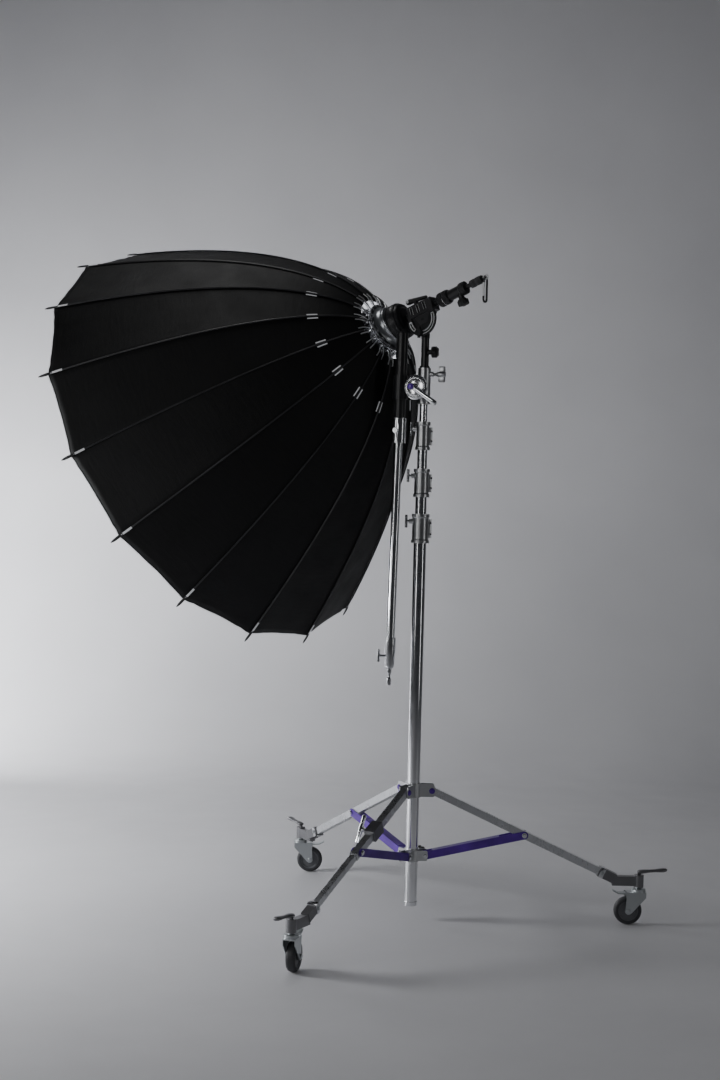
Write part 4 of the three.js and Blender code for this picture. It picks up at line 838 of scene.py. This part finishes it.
def make_clamp_ears():
    """Each mast clamp is split on one side, with two ears drawn together by screws."""
    turn = math.radians(24)
    out = Vector((math.cos(turn), math.sin(turn), 0))
    across = UP.cross(out)
    for node, radius in CLAMP_BANDS:
        low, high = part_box(node)
        parts = []
        for side in (-1, 1):
            middle = MAST + out * (radius + 0.0045) + across * side * 0.0052 + UP * ((low.z + high.z) / 2)
            tall = high.z - low.z - 0.036
            parts.append(rounded_box(basis(middle, out, across, UP), 0.013, 0.0072, tall, 0.0014))
        solid(node + "_ears", join(*parts), CAST, BODY_OF[node])
        screws = []
        for z in (low.z + 0.032, high.z - 0.032):
            place = MAST + out * (radius + 0.006) - across * 0.0086 + UP * z
            screws.append(socket_screw(facing(place, -across), 0.0042, 0.0032))
        solid(node + "_screws", join(*screws), BRIGHT, BODY_OF[node])


def rod_place(x, y=0.0, z=0.0):
    return ROD @ Vector((x, y, z))


ARC_FACE = -0.0282  # outside of the tilt bracket's arc, from the rod's plane
ARC_MIDDLE = 0.048
ARC_HALF = 0.0048
TILT_BELOW = -0.038  # tilt pivot, below the rod


def arc_point(radius, degrees):
    angle = math.radians(degrees)
    return rod_place(radius * math.cos(angle), ARC_FACE, TILT_BELOW + radius * math.sin(angle))


def make_arc_trims():
    """Bright edges round the slots of the arc and the block, and a dark plate and rim on the arc."""
    wires = []
    for start, end in ((-186, -146), (-112, 4)):
        steps = [start + (end - start) * i / 24 for i in range(25)]
        loop = [arc_point(ARC_MIDDLE + ARC_HALF, a) for a in steps]
        loop += [arc_point(ARC_MIDDLE - ARC_HALF, a) for a in reversed(steps)]
        wires.append(sweep(loop, 0.0021, 8, closed=True))
    for x in (-0.034, -0.006, 0.022):
        corners = [(x - 0.005, -0.016), (x + 0.005, -0.016), (x + 0.005, 0.019), (x - 0.005, 0.019)]
        wires.append(sweep([rod_place(a, -0.0231, b) for a, b in corners], 0.0007, 8, closed=True))
    solid("arc_slot_edges", join(*wires), EDGE, "softbox")
    middle = [arc_point(ARC_MIDDLE, -190 + 198 * i / 44) + 0.0022 * ROD_Y for i in range(45)]
    backing = sweep(middle, 0.0098, 12, 0.14, normal=ROD_Y)
    web = [(0, 0.0196), (0.0455, 0.0196), (0.0455, 0.0221), (0, 0.0221)]
    plate = lathe(web, facing(rod_place(0, 0, TILT_BELOW), -ROD_Y), 64)
    solid("arc_slot_backing", join(backing, plate), BLACK, "softbox")
    rim = [arc_point(0.0574, -192 + 204 * i / 48) + 0.0020 * ROD_Y for i in range(49)]
    solid("arc_rim_bead", sweep(rim, 0.0042, 12), BLACK, "softbox")


def make_rod_parts():
    along = facing(ROD_ORIGIN, ROD_X)
    drum = [(0.030, -0.1165), (0.0655, -0.1165), (0.0680, -0.1140), (0.0680, -0.0965), (0.0655, -0.0925)]
    drum += [(0.0605, -0.0800), (0.0575, -0.0770), (0.0300, -0.0745), (0.030, -0.1165)]
    dome = [lathe(drum, along, 14), ring_band(along, 0.03, 0.0668, -0.1215, -0.1185)]
    dome.append(ring_band(along, 0.03, 0.0672, -0.1040, -0.1020))
    solid("dome_grip", join(*dome), BLACK, "softbox")
    spans = ((0.080, 0.096), (0.100, 0.114))
    collar = [fluted(along, 0.0262, 0.0014, low, high, 30, 0.02) for low, high in spans]
    collar.append(fluted(along, 0.0238, 0.0012, 0.1720, 0.1880, 26, 0.016))
    solid("sleeve_grips", join(*collar), BLACK, "softbox")
    solid("sleeve_ring", ring_band(along, 0.02, 0.0256, 0.0972, 0.0988), BRIGHT, "softbox")
    spans = ((0.218, 0.233), (0.237, 0.256))
    cap = [fluted(along, 0.0147, 0.0009, low, high, 22, 0.01) for low, high in spans]
    solid("rod_cap_grips", join(*cap), BLACK, "focus_rod")
    eye = ring_band(facing(rod_place(EYE_AT), ROD_Y), 0.0064, 0.0100, -0.0033, 0.0033, 36)
    solid("rod_eye_ring", eye, EDGE, "focus_rod")
    top = joint_place("hook_swing")
    gate = sweep([top - ROD_Y * 0.0108 - UP * z for z in (0.020, 0.030, 0.052, 0.064)], 0.0038, 14)
    sleeve = ring_band(facing(top - ROD_Y * 0.0108, -UP), 0.002, 0.0048, 0.052, 0.066, 24)
    solid("hook_gate", join(gate, sleeve), EDGE, "snap_hook")
    faces = []
    for x in (-0.046, 0.048):
        for z in (-0.017, 0.020):
            faces.append(socket_screw(facing(rod_place(x, -0.023, z), -ROD_Y), 0.0032, 0.0022))
    solid("block_screws", join(*faces), BRIGHT, "softbox")


def make_rod_lever():
    """A tapered lever with a bright button beside its thick end, on a boss over the tilt block."""
    seat = joint_place("rod_lever_turn")
    slope = math.radians(9)
    tip = (ROD_X * math.cos(slope) - ROD_Z * math.sin(slope)).normalized()
    middle = seat + ROD_Z * 0.0205
    reach = (-0.0385, -0.0365, -0.032, -0.025, -0.008, 0.010, 0.026, 0.040, 0.046, 0.0495, 0.051)
    radii = (0.0050, 0.0086, 0.0102, 0.0102, 0.0090, 0.0078, 0.0068, 0.0060, 0.0057, 0.0044, 0.0020)
    bar = sweep([middle + tip * x for x in reach], lambda t: radii[round(t * 10)], 28)
    boss = lathe([(0, -0.001), (0.0090, -0.001), (0.0090, 0.016), (0, 0.016)], facing(seat, ROD_Z), 28)
    solid("rod_lever_made", join(bar, boss), BLACK, "rod_lever", ("rod_lever",), 50)
    button = [(0, -0.003), (0.0058, -0.003), (0.0058, 0.0012), (0.0044, 0.0026), (0, 0.0028)]
    place = facing(middle - tip * 0.0290 - ROD_Y * 0.0088, -ROD_Y)
    solid("lever_button", lathe(button, place, 28), EDGE, "rod_lever")


def outward(node, joint):
    """A joint's axis, turned towards its piece."""
    axis = joint_axis(joint)
    low, high = reach_along(node, joint_place(joint), axis)
    return axis if low + high > 0 else -axis


STAR_HEADS = (("sleeve_knob", 0.0205, 0.019), ("post_knob", 0.0205, 0.019), ("collar_knob", 0.016, 0.014))


def make_knobs():
    """The wing knob of the receiver, and full lobed heads on the star knobs."""
    seat = joint_place("receiver_knob_turn")
    axis = outward("receiver_knob", "receiver_knob_turn")
    low, top = reach_along("receiver_knob", seat, axis)
    up = (UP - UP.dot(axis) * axis).normalized()
    place = facing(seat, axis)
    shaft = [(0, low), (0.0052, low), (0.0052, top - 0.034), (0.0085, top - 0.031), (0.0105, top - 0.026)]
    parts = [lathe(shaft + [(0.0115, top - 0.012), (0.0085, top), (0, top)], place, 28)]
    for side in (-1, 1):
        middle = seat + axis * (top - 0.014) + up * side * 0.016
        parts.append(rounded_box(basis(middle, axis, up.cross(axis), up), 0.024, 0.0115, 0.024, 0.0035))
    solid("receiver_knob_made", join(*parts), CAST, BODY_OF["receiver_knob"], ("receiver_knob",), 50)
    for node, radius, thick in STAR_HEADS:
        axis = outward(node, node + "_turn")
        seat = joint_place(node + "_turn")
        top = reach_along(node, seat, axis)[1]
        head = fluted(facing(seat, axis), radius, 0.0050, top - thick, top, 5)
        solid(node + "_head", head, PLASTIC, BODY_OF[node], (), 60)


HANDLE_DROP = math.radians(34)


def make_boom_handle():
    """A ratchet handle: a turned hub, and a glossy lever that runs back towards the disc."""
    axis = joint_axis("boom_swing")
    pivot = joint_place("boom_swing")
    way = (UP.cross(axis) * math.cos(HANDLE_DROP) - UP * math.sin(HANDLE_DROP)).normalized()
    hub = [(0, 0.0890), (0.0130, 0.0890), (0.0130, 0.0940), (0.0100, 0.0970), (0.0100, 0.1090)]
    hub += [(0.0124, 0.1120), (0.0124, 0.1230), (0.0112, 0.1245), (0, 0.1245)]
    run = ((0.1180, -0.004), (0.1180, 0.012), (0.1165, 0.030), (0.1140, 0.050), (0.1110, 0.070))
    run += ((0.1080, 0.088), (0.1060, 0.100), (0.1050, 0.1055), (0.1045, 0.108))
    radii = (0.0085, 0.0080, 0.0072, 0.0078, 0.0086, 0.0094, 0.0092, 0.0074, 0.0030)
    points = [pivot + axis * z + way * x for z, x in run]
    bar = sweep(points, lambda t: radii[round(t * 8)], 24, 0.68, normal=axis)
    parts = join(lathe(hub, facing(pivot, axis), 40), bar)
    body = BODY_OF["boom_handle"]
    solid("boom_handle_made", parts, CHROME, body, ("boom_handle",), 50)


def make_boom_parts():
    """A purple cap on the clutch's screw, and rings round the grip."""
    axis = joint_axis("boom_swing")
    pivot = joint_place("boom_swing")
    cap = [(0, 0.104), (0.0060, 0.104), (0.0060, 0.1248), (0.0098, 0.1250), (0.0102, 0.1265)]
    cap += [(0.0100, 0.1300), (0.0080, 0.1325), (0.0040, 0.1338), (0, 0.1340)]
    solid("clutch_cap", lathe(cap, facing(pivot, axis), 40), GLOSSY_PURPLE, "riser_3")
    face = facing(pivot, axis)
    rings = [ring_band(face, 0.030, 0.0332, 0.0872, 0.0888), ring_band(face, 0.0345, 0.0372, 0.0872, 0.0884)]
    rings.append(fluted(face, 0.0438, 0.0008, 0.0765, 0.0835, 60, 0.038))
    disc = [(0.007, 0.0735), (0.0425, 0.0735), (0.0434, 0.0745), (0.0434, 0.0850), (0.0385, 0.0884)]
    rings.append(lathe(disc + [(0.007, 0.0884), (0.007, 0.0735)], face, 64))
    solid("clutch_rings", join(*rings), BRIGHT, "boom_clutch")


KNUCKLE_RADIUS = 0.0865
CROWN_LINE = facing(CROWN @ Vector((0, 0, 0)), CROWN_X)


def crown_frame(x, radius, angle):
    """A frame on the crown: X along its axis, Z out from it."""
    out = rib_outwards(angle)
    return basis(crown_point(-x, radius, angle), CROWN_X, out.cross(CROWN_X), out)


def make_crown():
    """The turned hub: two rings on a drum, and a bowl that narrows to the neck."""
    profile = [(0.072, -0.012), (0.0965, -0.012), (0.098, -0.0105), (0.098, -0.0075), (0.0965, -0.006)]
    profile += [(0.0775, -0.006), (0.0765, -0.005), (0.0765, 0.029), (0.0775, 0.030), (0.0905, 0.030)]
    profile += [(0.092, 0.0315), (0.092, 0.0345), (0.0905, 0.036), (0.072, 0.036), (0.072, -0.012)]
    solid("crown_hub_rings", lathe(profile, CROWN_LINE, 128), ALUMINIUM, "softbox", ("crown_hub",), 26)
    bowl = [(0.070, 0.0355), (0.0785, 0.0355), (0.0785, 0.0390), (0.0765, 0.0405), (0.0715, 0.0440)]
    bowl += [(0.0672, 0.0500), (0.0650, 0.0570), (0.0652, 0.0620), (0.0640, 0.0650), (0.0600, 0.0665)]
    bowl += [(0.024, 0.0670), (0.022, 0.069), (0.018, 0.069), (0.018, 0.060), (0.055, 0.058), (0.070, 0.0355)]
    solid("crown_bowl", lathe(bowl, CROWN_LINE, 128), BOWL, "softbox", (), 26)


def make_crown_parts():
    """Rib knuckles between the two flanges, screws on both, and a collar round the bowl."""
    knuckles = []
    screws = []
    for index in range(RIBS):
        angle = rib_angle(index)
        knuckles.append(rounded_box(crown_frame(0.012, 0.0815, angle), 0.0350, 0.0095, 0.0120, 0.0012))
        knuckles.append(rounded_box(crown_frame(-0.009, 0.0925, angle), 0.0072, 0.0110, 0.0120, 0.0010))
        between = rib_angle(index + 0.5)
        point = crown_point(-0.036, 0.0845, between)
        screws.append(hex_bolt(facing(point, CROWN_X), 0.0046, 0.0032))
        pin = crown_frame(0.012, KNUCKLE_RADIUS, angle)
        screws.append(lathe([(0, 0), (0.0034, 0), (0.0034, 0.0016), (0.0028, 0.0022), (0, 0.0022)], pin, 18))
    solid("rib_knuckles", join(*knuckles), BLACK, "softbox")
    solid("crown_screws", join(*screws), BRIGHT, "softbox")
    bands = [ring_band(CROWN_LINE, 0.060, 0.0668, 0.0590, 0.0612)]
    bands.append(ring_band(CROWN_LINE, 0.070, 0.0788, 0.0150, 0.0175))
    solid("crown_bands", join(*bands), BRIGHT, "softbox")


# ------------------------------------------------------------------ studio

FLOOR_SIZE = 9.0
WALL_AT = 4.2
COVE = 1.6


def show_one_side(n):
    """From behind, the sweep cannot be seen, so that it never hides the stand."""
    clear = n.add("ShaderNodeBsdfTransparent")
    either = n.add("ShaderNodeMixShader")
    n.put(either.inputs[0], n.add("ShaderNodeNewGeometry").outputs["Backfacing"])
    n.put(either.inputs[1], n.shader.outputs[0])
    n.put(either.inputs[2], clear.outputs[0])
    n.put(n.tree.nodes["Material Output"].inputs["Surface"], either.outputs[0])


def make_floor():
    n = Nodes("studio_floor")
    stain = n.noise(1.2, 5)
    n.set(Base_Color=n.mix(n.ramp(stain, 0, 1, 0.3, 0.75), color(0.60, 0.60, 0.62), color(0.66, 0.66, 0.68)))
    n.set(Roughness=n.ramp(n.noise(5, 4), 0.42, 0.62, 0.3, 0.7))
    n.bump(n.noise(60, 4), 0.12, 0.002)
    show_one_side(n)
    bm = bmesh.new()
    line = [(-FLOOR_SIZE, 0.0)]
    for step in range(13):
        angle = step / 12 * math.pi / 2
        line.append((WALL_AT - COVE + COVE * math.sin(angle), COVE - COVE * math.cos(angle)))
    line.append((WALL_AT, 7.0))
    rows = [[bm.verts.new((x, y, z)) for x in (-FLOOR_SIZE, FLOOR_SIZE)] for y, z in line]
    for a, b in zip(rows, rows[1:]):
        bm.faces.new((a[0], a[1], b[1], b[0]))
    mesh = bpy.data.meshes.new("studio_sweep")
    bm.to_mesh(mesh)
    bm.free()
    mesh.materials.append(n.material)
    mesh.shade_smooth()
    floor = bpy.data.objects.new("studio_sweep", mesh)
    bpy.context.scene.collection.objects.link(floor)


def area_light(name, place, target, size, power, tint):
    data = bpy.data.lights.new(name, "AREA")
    data.shape = "RECTANGLE"
    data.size, data.size_y = size
    data.energy = power
    data.color = tint
    lamp = bpy.data.objects.new(name, data)
    bpy.context.scene.collection.objects.link(lamp)
    lamp.location = place
    lamp.rotation_euler = (Vector(target) - Vector(place)).to_track_quat("-Z", "Y").to_euler()


def make_world():
    """Dim for the light it gives, paler where a camera looks straight at it."""
    world = bpy.data.worlds.new("studio")
    world.use_nodes = True
    tree = world.node_tree
    dim = tree.nodes["Background"]
    dim.inputs["Color"].default_value = (0.62, 0.64, 0.70, 1)
    dim.inputs["Strength"].default_value = 0.04
    seen = tree.nodes.new("ShaderNodeBackground")
    seen.inputs["Color"].default_value = (0.62, 0.63, 0.66, 1)
    seen.inputs["Strength"].default_value = 0.5
    either = tree.nodes.new("ShaderNodeMixShader")
    tree.links.new(tree.nodes.new("ShaderNodeLightPath").outputs["Is Camera Ray"], either.inputs[0])
    tree.links.new(dim.outputs[0], either.inputs[1])
    tree.links.new(seen.outputs[0], either.inputs[2])
    tree.links.new(either.outputs[0], tree.nodes["World Output"].inputs["Surface"])
    bpy.context.scene.world = world


COOL = (0.97, 0.98, 1)
WHITE = (1, 1, 1)
LIGHTS = (  # name, place, target, size, watts, tint
    ("wall_left", (-3.1, 2.3, 0.9), (-2.9, 4.2, 0.8), (1.4, 1.0), 100, COOL),
    ("key_left", (-3.0, -0.4, 1.2), (-2.2, 0.3, 0), (1.0, 1.0), 105, COOL),
    ("floor_back", (-2.9, 2.1, 1.4), (1.6, 1.9, 0), (1.0, 0.8), 28, COOL),
    ("top", (-1.0, 0.4, 5.0), (0.7, 1.0, 0), (2.0, 1.2), 24, WHITE),
    ("strip_right", (3.8, -2.2, 1.9), (0.1, 0, 1.3), (0.3, 3.2), 9, WHITE),
    ("strip_left", (-3.4, -3.4, 2.0), (0.0, 0, 1.2), (0.35, 2.8), 16, WHITE),
    ("front", (-2.2, -5.6, 2.7), (0, 0, 1.5), (1.2, 1.6), 22, WHITE),
)


def make_lights():
    for name, place, target, size, power, tint in LIGHTS:
        area_light(name, place, target, size, power, tint)


# ------------------------------------------------------------------ the whole

make_camera()
canopy, cloth_area = make_canopy()
make_ribs()
make_prongs()
make_windows()
make_hem()
make_plain_pieces()
make_leveller_handle()
make_wheels()
make_leg_bolts()
make_foot_brackets()
make_foot_levers()
make_caster_parts()
make_clamp_ears()
make_arc_trims()
make_rod_parts()
make_rod_lever()
make_knobs()
make_boom_handle()
make_boom_parts()
make_crown()
make_crown_parts()
make_floor()
make_world()
make_lights()
